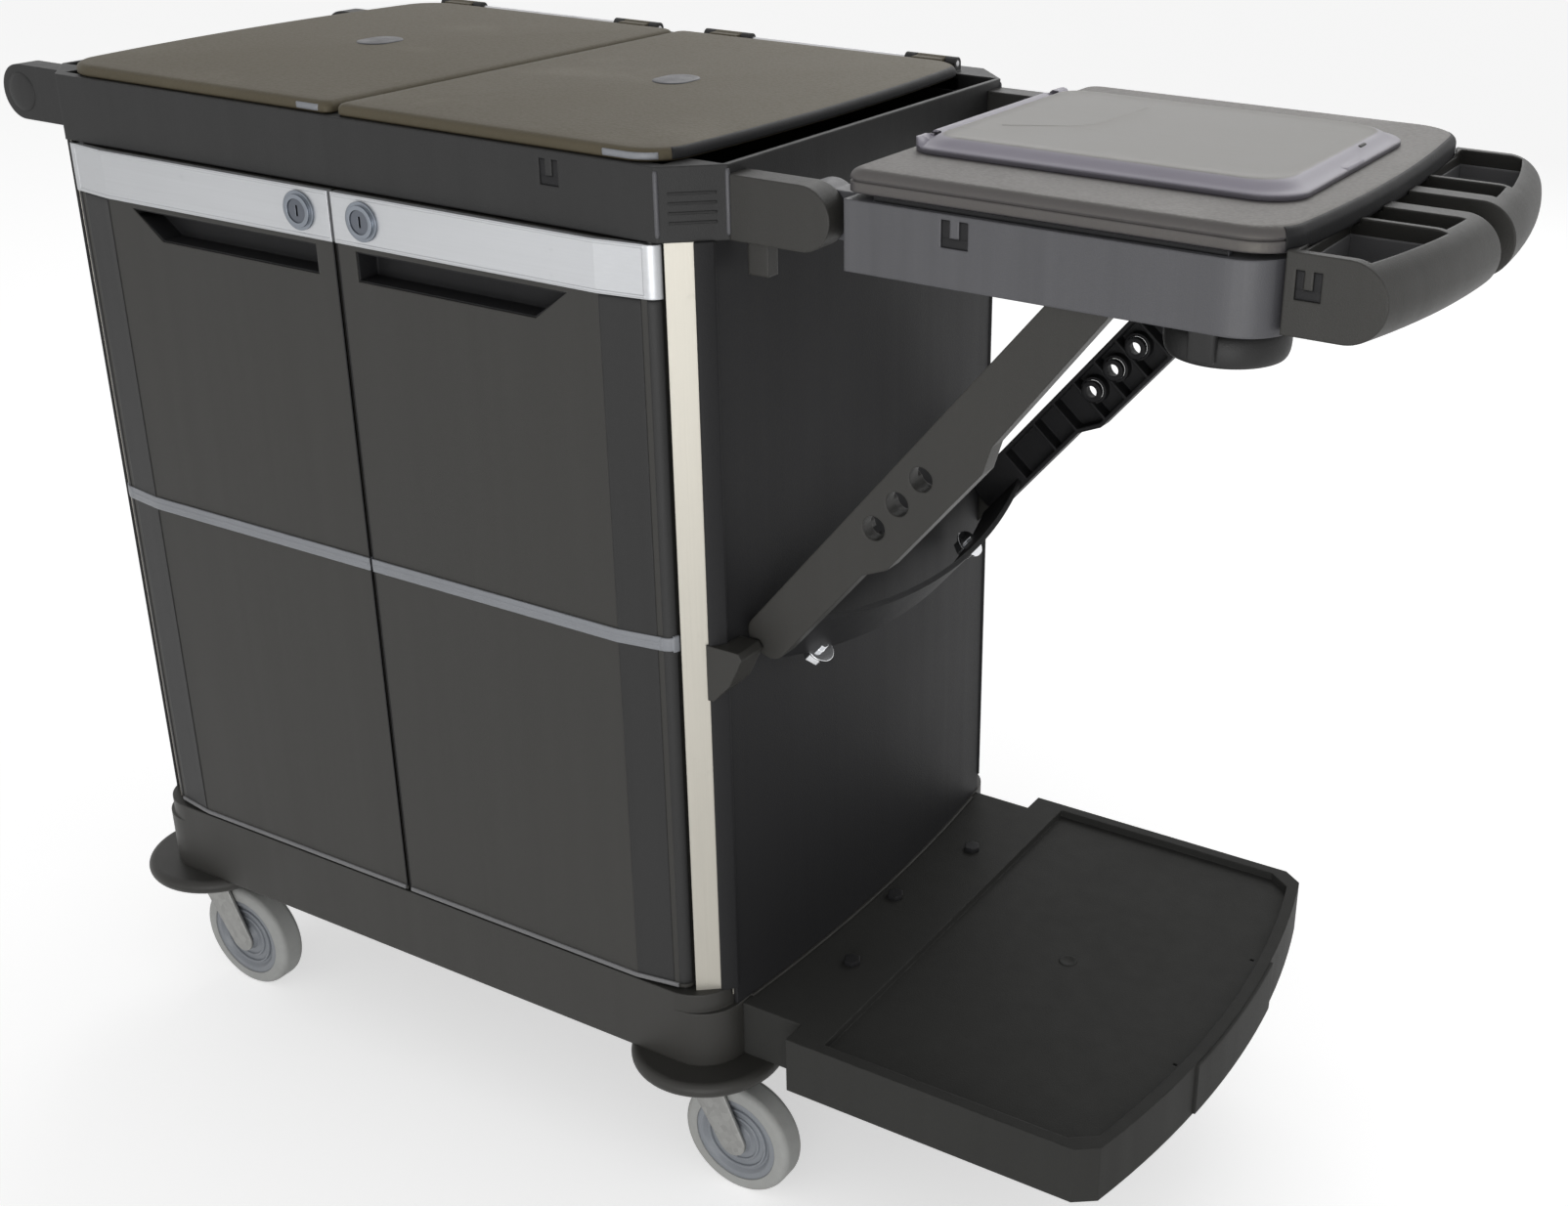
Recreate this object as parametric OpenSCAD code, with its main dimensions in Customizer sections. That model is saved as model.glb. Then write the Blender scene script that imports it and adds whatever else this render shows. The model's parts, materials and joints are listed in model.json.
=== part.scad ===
// Janitor cart: two-door cabinet on casters, lidded top deck, folding bag holder and lower platform.
// Front towards -Y, bag holder towards +X, floor at z = 0, depth centred on y = 0.
// Sub-parts are drawn with x = 0 at the split between the doors, then moved to the centre of the length.

/* [Doors] */
// Width of one door
door_w = 350; // [300:1:380]
// Height of a door
door_h = 732; // [600:1:800]
// Thickness of a door
door_t = 18; // [16:1:24]
// Gap between the two doors
door_split = 4; // [2:0.5:8]
// Gap between a door and its corner post
door_side_gap = 4.5; // [4:0.5:7]
// Gap under a door
door_gap_low = 3; // [2:0.5:8]
// Gap over a door
door_gap_top = 2; // [1.5:0.5:6]
// Width of the outer band that bends back
door_bend_w = 56; // [40:1:80]
// How far the outer band bends back
door_bend = 7; // [3:0.5:9]
// Radius of the rounded hinge edge
door_hinge_r = 10; // [9:0.5:12]
// Radius of a door hinge pin
door_pin_r = 4; // [3:0.5:5]
// Height of the silver top rail
rail_h = 46; // [36:1:60]
// Height of the middle trim strip
strip_h = 13; // [8:1:20]
// Height of the trim strip above the door's lower edge
strip_up = 364; // [250:1:450]
// How far the rail and strip stand proud of the door
trim_proud = 1.5; // [0.5:0.5:3]
// Length of the grip pocket
grip_l = 240; // [180:1:280]
// Height of the grip pocket
grip_h = 28; // [20:1:36]

/* [Locks] */
// Distance of a lock from the split
lock_in = 36; // [30:1:60]
// Radius of the lock rosette
rosette_r = 18; // [15:0.5:22]
// Radius of the turning lock barrel
barrel_r = 11; // [8:0.5:13]
// Reach of the lock cam
cam_l = 28; // [26:0.5:34]

/* [Cabinet] */
// Depth from the door faces to the rear line
body_d = 564; // [480:2:640]
// Width of a corner post along the door
post_w = 26.5; // [22:0.5:36]
// Depth of a corner post
post_d = 52; // [44:1:64]
// How far the post's front edge sits behind the door face
post_set = 14; // [10:1:20]
// Depth of the slanted faces of a post
post_slant = 25; // [18:1:30]
// Thickness of the end panels
panel_t = 4; // [3:0.5:6]
// How far an end panel bows outwards
panel_bow = 14; // [8:1:24]
// Thickness of the back panel
back_t = 4; // [3:0.5:6]
// Height of the middle shelf above the base
shelf_up = 350; // [250:1:450]
// Thickness of the middle shelf
shelf_t = 12; // [8:1:20]

/* [Base] */
// Height of the base's underside above the floor
base_z = 164; // [158:1:190]
// Height of the base
base_h = 82; // [70:1:110]
// Height of the base's end shoulder, on which the end panels stand
shoulder_h = 62; // [50:1:68]
// Radius of the base's corners
base_r = 45; // [30:1:60]
// Radius of a corner bumper disc
bumper_r = 78; // [70:1:90]
// Thickness of a corner bumper disc
bumper_t = 16; // [12:1:20]

/* [Casters] */
// Radius of a wheel
wheel_r = 62.5; // [50:0.5:64]
// Width of a wheel
wheel_w = 30; // [24:1:36]
// Thickness of the tyre
tyre_t = 15; // [10:1:20]
// Distance of the wheel centre from the swivel axis
trail = 38; // [28:1:42]
// Distance of the swivel axis from the front and from the ends of the base
swivel_in = 46; // [40:1:60]
// Radius of the swivel kingpin
kingpin_r = 6; // [5:0.5:8]
// Radius of the wheel axle
axle_r = 5; // [4:0.5:6]

/* [Top deck] */
// Height of the deck
deck_h = 62; // [50:1:80]
// How far the deck reaches past the posts at each end
deck_over = 14; // [8:1:24]
// How far the deck's front sits behind the door faces
deck_set = 8; // [4:1:14]
// Length of the slanted deck corners
deck_cut = 42; // [30:1:52]
// Thickness of the deck's rim and floor
deck_wall = 5; // [4:0.5:8]
// Width of the ledge around a tray
tray_ledge = 38; // [30:1:50]
// Width of the rear hinge strip
hinge_strip = 42; // [36:1:60]
// Thickness of a lid
lid_t = 12; // [10:0.5:16]
// Gap between the two lids
lid_split = 8; // [4:1:14]
// How far a lid stays inside the deck's end
lid_end_gap = 29; // [24:1:40]
// Radius of a lid's outer corners
lid_r = 34; // [20:1:50]
// How far a lid's outer edge bows outwards
lid_bow = 12; // [6:1:20]
// Radius of the lid hinge rods
rod_r = 3; // [2.5:0.5:4]

/* [Handle and hinge arms] */
// Distance of the bag hinge and push bar from the deck's ends
arm_l = 69; // [60:1:90]
// Height of an arm
arm_h = 54; // [46:1:60]
// Thickness of an arm
arm_t = 26; // [20:1:34]
// Radius of the push bar
bar_r = 16; // [13:0.5:20]
// Radius of the bag hinge pins
bag_pin_r = 6; // [5:0.5:8]
// Length of the hanging peg under an arm
peg_l = 30; // [15:1:40]

/* [Bag holder] */
// Gap from the hinge axis to the bag frame
frame_gap = 37; // [34:1:50]
// Length of the bag frame
frame_l = 362; // [320:1:420]
// How far the bag frame's sides are set in from the doors' face plane
frame_set = 56; // [50:1:64]
// Height of the bag frame
frame_h = 58; // [50:1:66]
// Depth of the frame's underside below the hinge axis
frame_low = 38; // [32:1:44]
// Width of a hollow frame rail
rail_w = 32; // [30:1:40]
// Wall of the frame rails
rail_wall = 4; // [3:0.5:5]
// Radius of the frame's outer corners
frame_r = 40; // [24:1:48]
// Length of the end tray past the frame
tray_l = 78; // [64:1:90]
// Width of the end tray
tray_w = 420; // [380:1:430]
// How far the end tray bows outwards
tray_bow = 28; // [16:1:40]
// Height of the end tray
tray_h = 62; // [50:1:66]
// Width of the notch between the two grip lobes
notch_w = 44; // [36:1:80]
// Height of the bag lid
bag_lid_h = 19; // [15:0.5:24]
// Height of the band round the bag lid's foot, under a fine groove
bag_lid_band = 9; // [6:0.5:10]
// Bevel round the bag lid's upper edge
bag_lid_bevel = 6; // [3:0.5:7]
// Thickness of the bag lid's plate and skirt
bag_lid_t = 4; // [3:0.5:5]
// How far the bag lid's long sides sit inside the frame
bag_lid_in = 6; // [4:1:12]
// How far the bag lid's free end bows outwards
bag_lid_bow = 14; // [6:1:20]
// Radius of the bag lid's free corners
bag_lid_r = 34; // [20:1:44]
// Width of the smoky cover
cover_w = 284; // [220:1:320]
// Length of the smoky cover
cover_l = 335; // [280:1:345]
// Height of the smoky cover
cover_h = 13; // [10:0.5:18]
// Radius of the hook ring
ring_r = 50; // [36:1:54]
// Height of the hook ring's band
ring_h = 18; // [12:1:24]
// Drop of the hook ring below the frame
ring_drop = 22; // [8:1:28]

/* [Struts] */
// Distance of the strut pivot from the bag hinge axis
strut_out = 249; // [230:1:260]
// Depth of the strut pivot below the bag hinge axis
strut_low = 30; // [26:1:32]
// Length of a strut from pivot to foot
strut_l = 478; // [440:1:480]
// Gap from the end panel's furthest bow to the struts' foot axis
foot_gap = 5; // [5:0.5:9]
// Width of a strut's channel across the cart
strut_w = 20; // [16:1:21]
// Wall of a strut's channel
strut_wall = 4; // [3:0.5:5]
// Radius of the strut pivot pins
strut_pin_r = 5; // [4:0.5:6]
// Radius of the round holes in a strut
strut_hole_r = 11; // [7:0.5:12]
// Spacing of the round holes in a strut
strut_hole_step = 35; // [32:0.5:40]
// Distance of the first hole from the strut's foot
strut_hole_at = 183; // [170:1:200]
// Distance of a strut's back edge from its line
strut_back = 18; // [16:0.5:22]
// Distance of a strut's front edge from its line, near the foot
strut_lower = 25; // [22:0.5:28]
// The same at the wider middle
strut_wide = 37; // [30:0.5:40]
// The same towards the pivot
strut_upper = 27; // [24:0.5:28]
// Start of the wider middle along a strut
strut_wide0 = 140; // [125:1:150]
// End of the wider middle along a strut
strut_wide1 = 302; // [280:1:320]
// How far the apron bows out from the struts
apron_bow = 34; // [24:1:46]
// Length of the apron along the struts
apron_l = 62; // [50:1:100]

/* [Lower platform] */
// Length of the platform past the cabinet's end
platform_l = 412; // [350:1:450]
// Width of the platform
platform_w = 528; // [480:1:540]
// Height of the platform
platform_h = 60; // [50:1:70]
// Length of the narrower neck
neck_l = 70; // [60:1:100]
// How far each side of the neck steps in
neck_step = 27; // [20:1:40]
// How far the platform's free end bows outwards
platform_bow = 27; // [12:1:40]
// Length of the slanted platform corners
platform_cut = 30; // [20:1:44]
// Width of the raised rim
platform_rim = 12; // [8:1:20]
// Depth of the platform's surface below the rim
platform_deep = 8; // [4:1:12]
// Wall of the platform
platform_wall = 5; // [4:0.5:8]

/* [Hidden] */
$fn = 64;
// Radial running clearance of a pin in a turning piece
run = 0.05;
// Rest gap between bodies that move against each other
rest_gap = 0.3;
// Fitting gap between a post and an end panel
panel_gap = 0.1;
// Room around the bag lid's edge where it passes the end tray
lid_room = 1.5;
// Overlap used when a cut has to pass a face
past = 1;

// Colours
plastic = "#3d3b3a";
plastic_light = "#626269";
lid_grey = "#6f6d64";
silver = "#cfd0d2";
cream = "#c9c6bc";
strip_grey = "#a5a8ac";
smoke = "#9a979d";
tyre_grey = "#8d9295";
hub_grey = "#aab0b8";
fork_grey = "#b6b8ba";
chrome = "#e2e4e6";

// Cabinet places
door_x0 = door_split / 2;
door_x1 = door_x0 + door_w;
post_x0 = door_x1 + door_side_gap;
post_x1 = post_x0 + post_w;
half_d = body_d / 2;
face_y = -half_d;
post_y0 = face_y + post_set;
post_y1 = post_y0 + post_d;
base_top = base_z + base_h;
shoulder_z = base_z + shoulder_h;
door_z = base_top + door_gap_low;
deck_z = door_z + door_h + door_gap_top;
deck_top = deck_z + deck_h;
panel_half = -(post_y0 + post_slant);
panel_x = post_x1 + panel_t + panel_gap;
panel_r = (panel_half * panel_half + panel_bow * panel_bow) / (2 * panel_bow);
panel_cx = panel_x + panel_bow - panel_r;
panel_reach = panel_x + panel_bow;
base_x = post_x1 + 6;
back_y = -post_y0;
back_rib = 60;
back_step = 2 * (post_x0 - back_rib / 2) / 3;
back_bay = back_step - back_rib;
cleat_l = 46;
cleat_on = 24;
cleat_h = 26;
cleat_w = 22;
cleat_t = 3;

// Door hinge axis
hinge_ax = door_x1 - door_hinge_r;
hinge_ay = face_y + door_bend + door_hinge_r;
door_rear = face_y + door_t;
bend_x = door_x1 - door_bend_w;
rail_t = 6.5;
rail_z = door_z + door_h - rail_h;
strip_z = door_z + strip_up;
strip_t = 5.5;
grip_z = rail_z - 5 - grip_h;
grip_deep = 26;
skin = 4;
hinge_pin_in = 14;
hinge_pin_l = 18;

// Locks
lock_x = door_x0 + lock_in;
lock_z = rail_z + rail_h / 2 + 1;
rosette_t = 4.5;
cam_t = 4;
cam_w = 14;
cam_y = door_rear + rest_gap;

// Caster places
swivel_x = base_x - swivel_in + 3;
swivel_y = half_d - swivel_in;
disc_z = base_z - bumper_t;
crown_h = 15;
crown_r = 26;
kingpin_in = 25;
crown_z = disc_z - 1 - crown_h;
leg_t = 4;
leg_gap = 2;
leg_y = wheel_w / 2 + leg_gap;
wheel_r_in = wheel_r - tyre_t;
tyre_round = 7;

// Deck places
deck_x = post_x1 + deck_over;
deck_hd = half_d - deck_set;
lid_x0 = lid_split / 2;
lid_x1 = deck_x - lid_end_gap;
lid_y0 = -deck_hd + 5;
lid_y1 = deck_hd - hinge_strip + 4;
rod_y = lid_y1 + 10;
rod_z = deck_top + 7;
knuckle_r = 6.5;
lid_r_in = 8;
knuckle_w = 34;
lug_w = 12;
knuckle_in = 40;
rear_bay = (2 * post_x0 - 10) / 7;

// Arms
arm_y1 = deck_hd - deck_cut;
arm_y0 = arm_y1 - arm_t;
hinge_x = deck_x + arm_l;
hinge_z = deck_z + arm_h / 2;
arm_r = arm_h / 2;
peg_w = 20;
pin_cover = 8;
clip_x = 246;
clip_drop = 18;

// Bag holder
frame_x0 = hinge_x + frame_gap;
frame_x1 = frame_x0 + frame_l;
frame_hw = half_d - frame_set;
frame_z = hinge_z - frame_low;
frame_top = frame_z + frame_h;
chan_y1 = frame_hw - rail_wall;
chan_y0 = frame_hw - rail_w + rail_wall;
chan_mid = (chan_y0 + chan_y1) / 2;
lug_y1 = arm_y0 - 2;
lug_y0 = lug_y1 - 24;
lug_r = 24;
tray_hw = tray_w / 2;
tray_x1 = frame_x1 + tray_l;
tray_r = (tray_hw * tray_hw + tray_bow * tray_bow) / (2 * tray_bow);
tray_cx = tray_x1 + tray_bow - tray_r;
tray_z = frame_z + 4;
lobe_r = tray_h / 2;
bag_lid_x0 = frame_x0 - 3;
bag_lid_z = frame_top + 4;
bag_lid_top = bag_lid_z + bag_lid_h;
bag_lid_hw = frame_hw - bag_lid_in;
bag_lid_end = frame_x1 + bag_lid_bow;
bag_rod_x = bag_lid_x0 + 6;
bag_rod_z = bag_lid_z + 9;
rod_lug = 4.5;
rod_lug_y = 48;
rod_lug_w = 12;
lid_lug_y = rod_lug_y + rod_lug_w + 2;
lid_lug_w = 22;
lid_slot = 6;
lid_groove = 1.5;
bag_rod_end = lid_lug_y + lid_lug_w + lid_slot;
cover_x0 = bag_lid_x0 + 8;
cover_z = bag_lid_top + rest_gap;
cover_pin_r = 2;
cover_pin_x = cover_x0 + 6;
cover_pin_z = bag_lid_top + 6;
cover_lug_w = 8;
cover_lug_y = cover_w / 2 - 30 - cover_lug_w;
cover_roll = cover_pin_z - bag_lid_top - 0.4;
sheet_x0 = cover_x0 + 27;
sheet_x1 = cover_x0 + cover_l - 27;
sheet_hw = cover_w / 2 - 19;
sheet_deep = 9;
sheet_wall = 3;
sheet_lip = 5;
sheet_lip_t = 1.5;
sheet_play = 0.1;
ring_x = frame_x1 - ring_r - 17;
ring_y = -(chan_y0 - 10 - ring_r);
ring_hang_y = -(frame_hw - rail_w);
ring_t = 8;

// Struts
strut_px = hinge_x + strut_out;
strut_pz = hinge_z - strut_low;
foot_x = panel_reach + foot_gap;
strut_rise = acos((strut_px - foot_x) / strut_l);
foot_z = strut_pz - strut_l * sin(strut_rise);
strut_y1 = chan_mid + strut_w / 2;
strut_y0 = chan_mid - strut_w / 2;
apron_low = 14;
apron_in = 20;
apron_t = 5;
foot_l = apron_l - apron_low + 8;
foot_over = 5;
strut_foot_r = 16;
strut_end_r = 21;
strut_step = 24;
hex_r = 10;
hex_h = 9;
hex_shank_r = 5;
hex_shank_l = 7;
strut_holes = [for (i = [0:2]) strut_hole_at + i * strut_hole_step];
catch_z = foot_z - 52;
catch_h = 55;
catch_y0 = strut_y1 + 3;
catch_w = 33;
catch_out = 26;

// Platform
platform_z = base_z;
platform_top = platform_z + platform_h;
platform_hw = platform_w / 2;
platform_x1 = panel_x + platform_l;
platform_neck_x = panel_x + neck_l;
end_half = platform_hw - platform_cut;
platform_r = (end_half * end_half + platform_bow * platform_bow) / (2 * platform_bow);
platform_cx = platform_x1 - platform_r + platform_bow - 12;
ledge_l = 60;
ledge_h = 26;
ledge_low = 6;
bolt_r = 5;
bolt_head_r = 9;
bolt_head_h = 5;
bolt_y = 125;
bolt_out = 44;
bolt_mid = 20;

// Middle of the whole length, which becomes x = 0
notch_x = tray_cx + sqrt(tray_r * tray_r - notch_w * notch_w / 4);
mid_x = (notch_x - hinge_x - arm_r) / 2;

// Copies for both sides
module both_ends() { children(); mirror([1, 0, 0]) children(); }
module both_sides() { children(); mirror([0, 1, 0]) children(); }
module four_corners() { both_ends() both_sides() children(); }
module left_of(left) { if (left) mirror([1, 0, 0]) children(); else children(); }
module rear_of(rear) { if (rear) mirror([0, 1, 0]) children(); else children(); }

// Points of an arc about a centre, from one angle to another
function arc(x, y, r, from, to, steps = 12) =
    [for (i = [0:steps]) let (a = from + (to - from) * i / steps) [x + r * cos(a), y + r * sin(a)]];

// Cylinder along Y between two places
module y_rod(r, y0, y1) { translate([0, y1, 0]) rotate([90, 0, 0]) cylinder(r = r, h = y1 - y0); }

// Cylinder along X between two places
module x_rod(r, x0, x1) { translate([x0, 0, 0]) rotate([0, 90, 0]) cylinder(r = r, h = x1 - x0); }

// Block between two corners
module block(a, b) { translate(a) cube(b - a); }

// Rectangle between two corners with round corners
module round_rect(x0, y0, x1, y1, r) {
    translate([x0 + r, y0]) square([x1 - x0 - 2 * r, y1 - y0]);
    translate([x0, y0 + r]) square([x1 - x0, y1 - y0 - 2 * r]);
    for (x = [x0 + r, x1 - r], y = [y0 + r, y1 - r]) translate([x, y]) circle(r);
}

// Outline from x0 to a bowed edge whose middle is at x1, with half width hw and round corners
function bowed_outline(x0, x1, hw, bow, r0, r1) =
    let (big = (hw * hw + bow * bow) / (2 * bow), cx = x1 - big)
    let (fx = cx + sqrt((big - r1) * (big - r1) - (hw - r1) * (hw - r1)), a = atan2(hw - r1, fx - cx))
    concat(arc(x0 + r0, -hw + r0, r0, 180, 270, 8), arc(fx, -hw + r1, r1, -90, -a, 8),
        arc(cx, 0, big, -a, a, 24),
        arc(fx, hw - r1, r1, a, 90, 8), arc(x0 + r0, hw - r0, r0, 90, 180, 8));

// Plan of a corner post: slanted outer faces and a hollow chamber
module post_plan() {
    difference() {
        polygon([[post_x0, post_y0], [post_x1 - 6, post_y0 + post_slant - 9],
            [post_x1, post_y0 + post_slant],
            [post_x1, post_y1], [post_x0, post_y1]]);
        translate([post_x0 + 4, post_y0 + post_slant]) square([post_w - 8, post_d - post_slant - 4]);
    }
}

// Solid plan that a post fills, for the sockets around it
module post_socket() {
    polygon([[post_x0, post_y0], [post_x1 - 6, post_y0 + post_slant - 9], [post_x1, post_y0 + post_slant],
        [post_x1, post_y1], [post_x0, post_y1]]);
}

module corner_post(left, rear) {
    color(cream) left_of(left) rear_of(rear) translate([0, 0, base_top - 10])
        linear_extrude(deck_z - base_top + 10) post_plan();
}

// Region inside the outer face of a bowed end panel
module panel_disc(grow) { translate([panel_cx, 0]) circle(panel_r + grow, $fn = 1024); }

module end_panel(left) {
    color(plastic) left_of(left) translate([0, 0, shoulder_z]) linear_extrude(deck_z - shoulder_z)
        intersection() {
            difference() { panel_disc(0); panel_disc(-panel_t); }
            translate([panel_x - 20, -panel_half]) square([80, 2 * panel_half]);
        }
}

// Base outline: rounded rectangle with ends bowed like the panels
module base_plan() {
    round_rect(-base_x, -half_d, base_x, half_d, base_r);
    both_ends() intersection() {
        panel_disc(3);
        translate([base_x - 30, -panel_half + 20]) square([90, 2 * panel_half - 40]);
    }
}

module base_tray() {
    color(plastic) difference() {
        union() {
            translate([0, 0, base_z]) linear_extrude(shoulder_h) base_plan();
            translate([0, 0, shoulder_z]) linear_extrude(base_top - shoulder_z)
                round_rect(-post_x1, -half_d, post_x1, half_d, base_r);
            block([base_x - 20, -platform_hw + 90, base_z + ledge_low],
                [panel_reach + ledge_l, platform_hw - 90, base_z + ledge_h]);
        }
        four_corners() translate([0, 0, base_top - 10]) linear_extrude(20) post_socket();
        for (side = [-1, 1]) block([side > 0 ? 20 : -swivel_x + 60, -half_d + 12, base_z - past],
            [side > 0 ? swivel_x - 60 : -20, half_d - 12, base_top - 8]);
        both_ends() block([swivel_x - 54, -swivel_y + 60, base_z - past],
            [base_x - 8, swivel_y - 60, base_z + ledge_h - 14]);
        both_ends() both_sides() translate([swivel_x, swivel_y, base_z - past]) cylinder(r = kingpin_r,
            h = kingpin_in + 1 + past);
        both_ends() translate([hinge_ax, hinge_ay, base_top - hinge_pin_in]) cylinder(r = door_pin_r,
            h = 30);
        platform_bolt_places() translate([0, 0, base_z - past]) cylinder(r = bolt_r, h = platform_h);
    }
}

// Disc with a round edge around each swivel
module corner_bumpers() {
    color(plastic) four_corners() translate([swivel_x, swivel_y, disc_z]) difference() {
        union() {
            cylinder(r = bumper_r - bumper_t / 2, h = bumper_t);
            translate([0, 0, bumper_t / 2]) rotate_extrude() translate([bumper_r - bumper_t / 2, 0])
                circle(bumper_t / 2);
        }
        translate([0, 0, -past]) cylinder(r = kingpin_r, h = bumper_t + 2 * past);
    }
}

module back_panel() {
    color(plastic) difference() {
        block([-post_x0, back_y - back_t - 4, base_top], [post_x0, back_y, deck_z]);
        for (i = [-1, 0, 1]) block([i * back_step - back_bay / 2, back_y - back_t - 4 - past,
            base_top + back_rib], [i * back_step + back_bay / 2, back_y - back_t, deck_z - back_rib]);
    }
}

module middle_shelf() {
    z = base_top + shelf_up;
    color(plastic) difference() {
        block([-post_x0 + 4, post_y1 + 4, z], [post_x0 - 4, back_y - back_t - 6, z + shelf_t]);
        block([-post_x0 + 14, post_y1 + 14, z + 4],
            [post_x0 - 14, back_y - back_t - 16, z + shelf_t + past]);
        block([-post_x0, -post_y1 - 4, z - past], [-post_x0 + 8, back_y, z + shelf_t + past]);
        block([post_x0 - 8, -post_y1 - 4, z - past], [post_x0, back_y, z + shelf_t + past]);
    }
}

// Angle cleats on the posts that carry the shelf
module shelf_brackets() {
    z = base_top + shelf_up;
    color(silver) both_ends() both_sides() {
        block([post_x0 - cleat_t, post_y1 - cleat_on, z - cleat_h], [post_x0, post_y1 + cleat_l, z]);
        block([post_x0 - cleat_w, post_y1 - cleat_t, z - cleat_t], [post_x0, post_y1 + cleat_l, z]);
    }
}

// Deck outline with slanted corners
module deck_plan() {
    polygon([for (c = [[1, -1], [1, 1], [-1, 1], [-1, -1]], k = [0, 1])
        let (along = (c[0] * c[1] > 0) == (k == 0))
        along ? [c[0] * deck_x, c[1] * (deck_hd - deck_cut)] : [c[0] * (deck_x - deck_cut),
            c[1] * deck_hd]]);
}

// Square spring-clip recess with a tongue left standing in it
module clip_recess(w, h, deep) {
    difference() {
        translate([-w / 2, -past, -h / 2]) cube([w, deep + past, h]);
        translate([-w / 6, -past, -h / 8]) cube([w / 3, deep + 2 * past, h]);
    }
}

module top_deck() {
    color(plastic) difference() {
        union() {
            translate([0, 0, deck_z]) linear_extrude(deck_h) deck_plan();
            both_ends() for (x = lid_lug_places()) translate([x, 0, 0]) hinge_lug();
        }
        both_ends() {
            block([lid_x0 + 8, -deck_hd + 12, deck_top - 15],
                [deck_x - deck_cut, deck_hd - hinge_strip, deck_top + past]);
            block([lid_x0 + 8, -deck_hd + deck_cut, deck_top - 15],
                [deck_x - deck_wall, deck_hd - hinge_strip, deck_top + past]);
            block([lid_x0 + 8, -deck_hd + tray_ledge - 14, deck_z + deck_wall],
                [deck_x - tray_ledge - 6, deck_hd - hinge_strip - 12, deck_top]);
            translate([0, rod_y, rod_z]) x_rod(rod_r, lid_x0, lid_x1);
            translate([hinge_ax, hinge_ay, deck_z - past]) cylinder(r = door_pin_r,
                h = hinge_pin_in + past);
            block([lock_x - cam_w / 2 - 2, cam_y - 3, deck_z - past],
                [lock_x + cam_l - 4, cam_y + cam_t + 3, lock_z + cam_l + 6]);
        }
        translate([clip_x, -deck_hd, deck_top - clip_drop]) clip_recess(20, 22, 3);
        for (k = [0:6]) translate([-post_x0 + 8 + k * rear_bay, 0, 0])
            block([0, deck_hd - hinge_strip - 12 + deck_wall, deck_z - past],
                [rear_bay - 6, back_y - back_t - 8, deck_top - deck_wall]);
    }
}

// Places of the lid hinge along one lid
function lid_knuckle_places() = [lid_x0 + knuckle_in, lid_x1 - knuckle_in - knuckle_w];
function lid_lug_places() = [for (x = lid_knuckle_places(), k = [-lug_w - 0.5, knuckle_w + 0.5]) x + k];

module hinge_lug() {
    translate([0, rod_y, rod_z]) x_rod(knuckle_r, 0, lug_w);
    block([0, rod_y - knuckle_r, deck_top - past], [lug_w, rod_y + knuckle_r, rod_z]);
}

// Lid: bevelled plate, hollow underneath, with two hinge knuckles
module lid_plan(inset) {
    translate([0, (lid_y0 + lid_y1) / 2]) polygon(bowed_outline(lid_x0 + inset, lid_x1 - inset,
        (lid_y1 - lid_y0) / 2 - inset, lid_bow, lid_r_in - inset / 2, lid_r - inset));
}

module deck_lid(left) {
    z = deck_top + rest_gap;
    color(lid_grey) left_of(left) difference() {
        union() {
            translate([0, 0, z]) hull() {
                linear_extrude(lid_t - 5) lid_plan(0);
                linear_extrude(lid_t) lid_plan(5);
            }
            for (x = lid_knuckle_places()) {
                translate([x, rod_y, rod_z]) x_rod(knuckle_r, 0, knuckle_w);
                block([x, lid_y1 - 4, rod_z - 2], [x + knuckle_w, rod_y, rod_z + knuckle_r - 1.5]);
            }
        }
        block([lid_x0 + 18, lid_y0 + 34, z - past], [lid_x1 - 30, lid_y1 - 12, z + lid_t - 4]);
        translate([0, rod_y, rod_z]) x_rod(rod_r + run, lid_x0, lid_x1);
    }
}

module lid_hinge_rods() {
    color(silver) both_ends() translate([0, rod_y, rod_z])
        x_rod(rod_r, lid_lug_places()[0], lid_lug_places()[3] + lug_w);
}

// Arm that carries the push bar or the bag hinge
module arm_blank() {
    block([deck_x, -arm_y1, deck_z], [hinge_x, -arm_y0, deck_z + arm_h]);
    translate([hinge_x, 0, hinge_z]) y_rod(arm_r, -arm_y1, -arm_y0);
}

module handle_arms() {
    color(plastic) mirror([1, 0, 0]) both_sides() difference() {
        arm_blank();
        translate([hinge_x, 0, hinge_z]) y_rod(bar_r, -arm_y0 - 14, -arm_y0 + past);
    }
}

module push_bar() {
    color(plastic) translate([-hinge_x, 0, hinge_z]) y_rod(bar_r, -arm_y0 - 14, arm_y0 + 14);
}

module bag_hinge_arms() {
    color(plastic_light) both_sides() difference() {
        union() {
            arm_blank();
            block([deck_x + 9, -arm_y0 - 14, deck_z - peg_l], [deck_x + 9 + peg_w, -arm_y0, deck_z + past]);
        }
        translate([hinge_x, 0, hinge_z]) y_rod(bag_pin_r, -arm_y1 + pin_cover, -arm_y0 + past);
    }
}

module bag_hinge_pins() {
    color(chrome) both_sides() translate([hinge_x, 0, hinge_z]) y_rod(bag_pin_r, -arm_y1 + pin_cover, -lug_y0);
}

// Door plan: flat face, outer band bent back, round hinge edge
module door_front(shift) {
    polygon([[door_x0, face_y + shift], [bend_x, face_y + shift], [hinge_ax, face_y + door_bend + shift],
        [hinge_ax, door_rear], [door_x0, door_rear]]);
}

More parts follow.
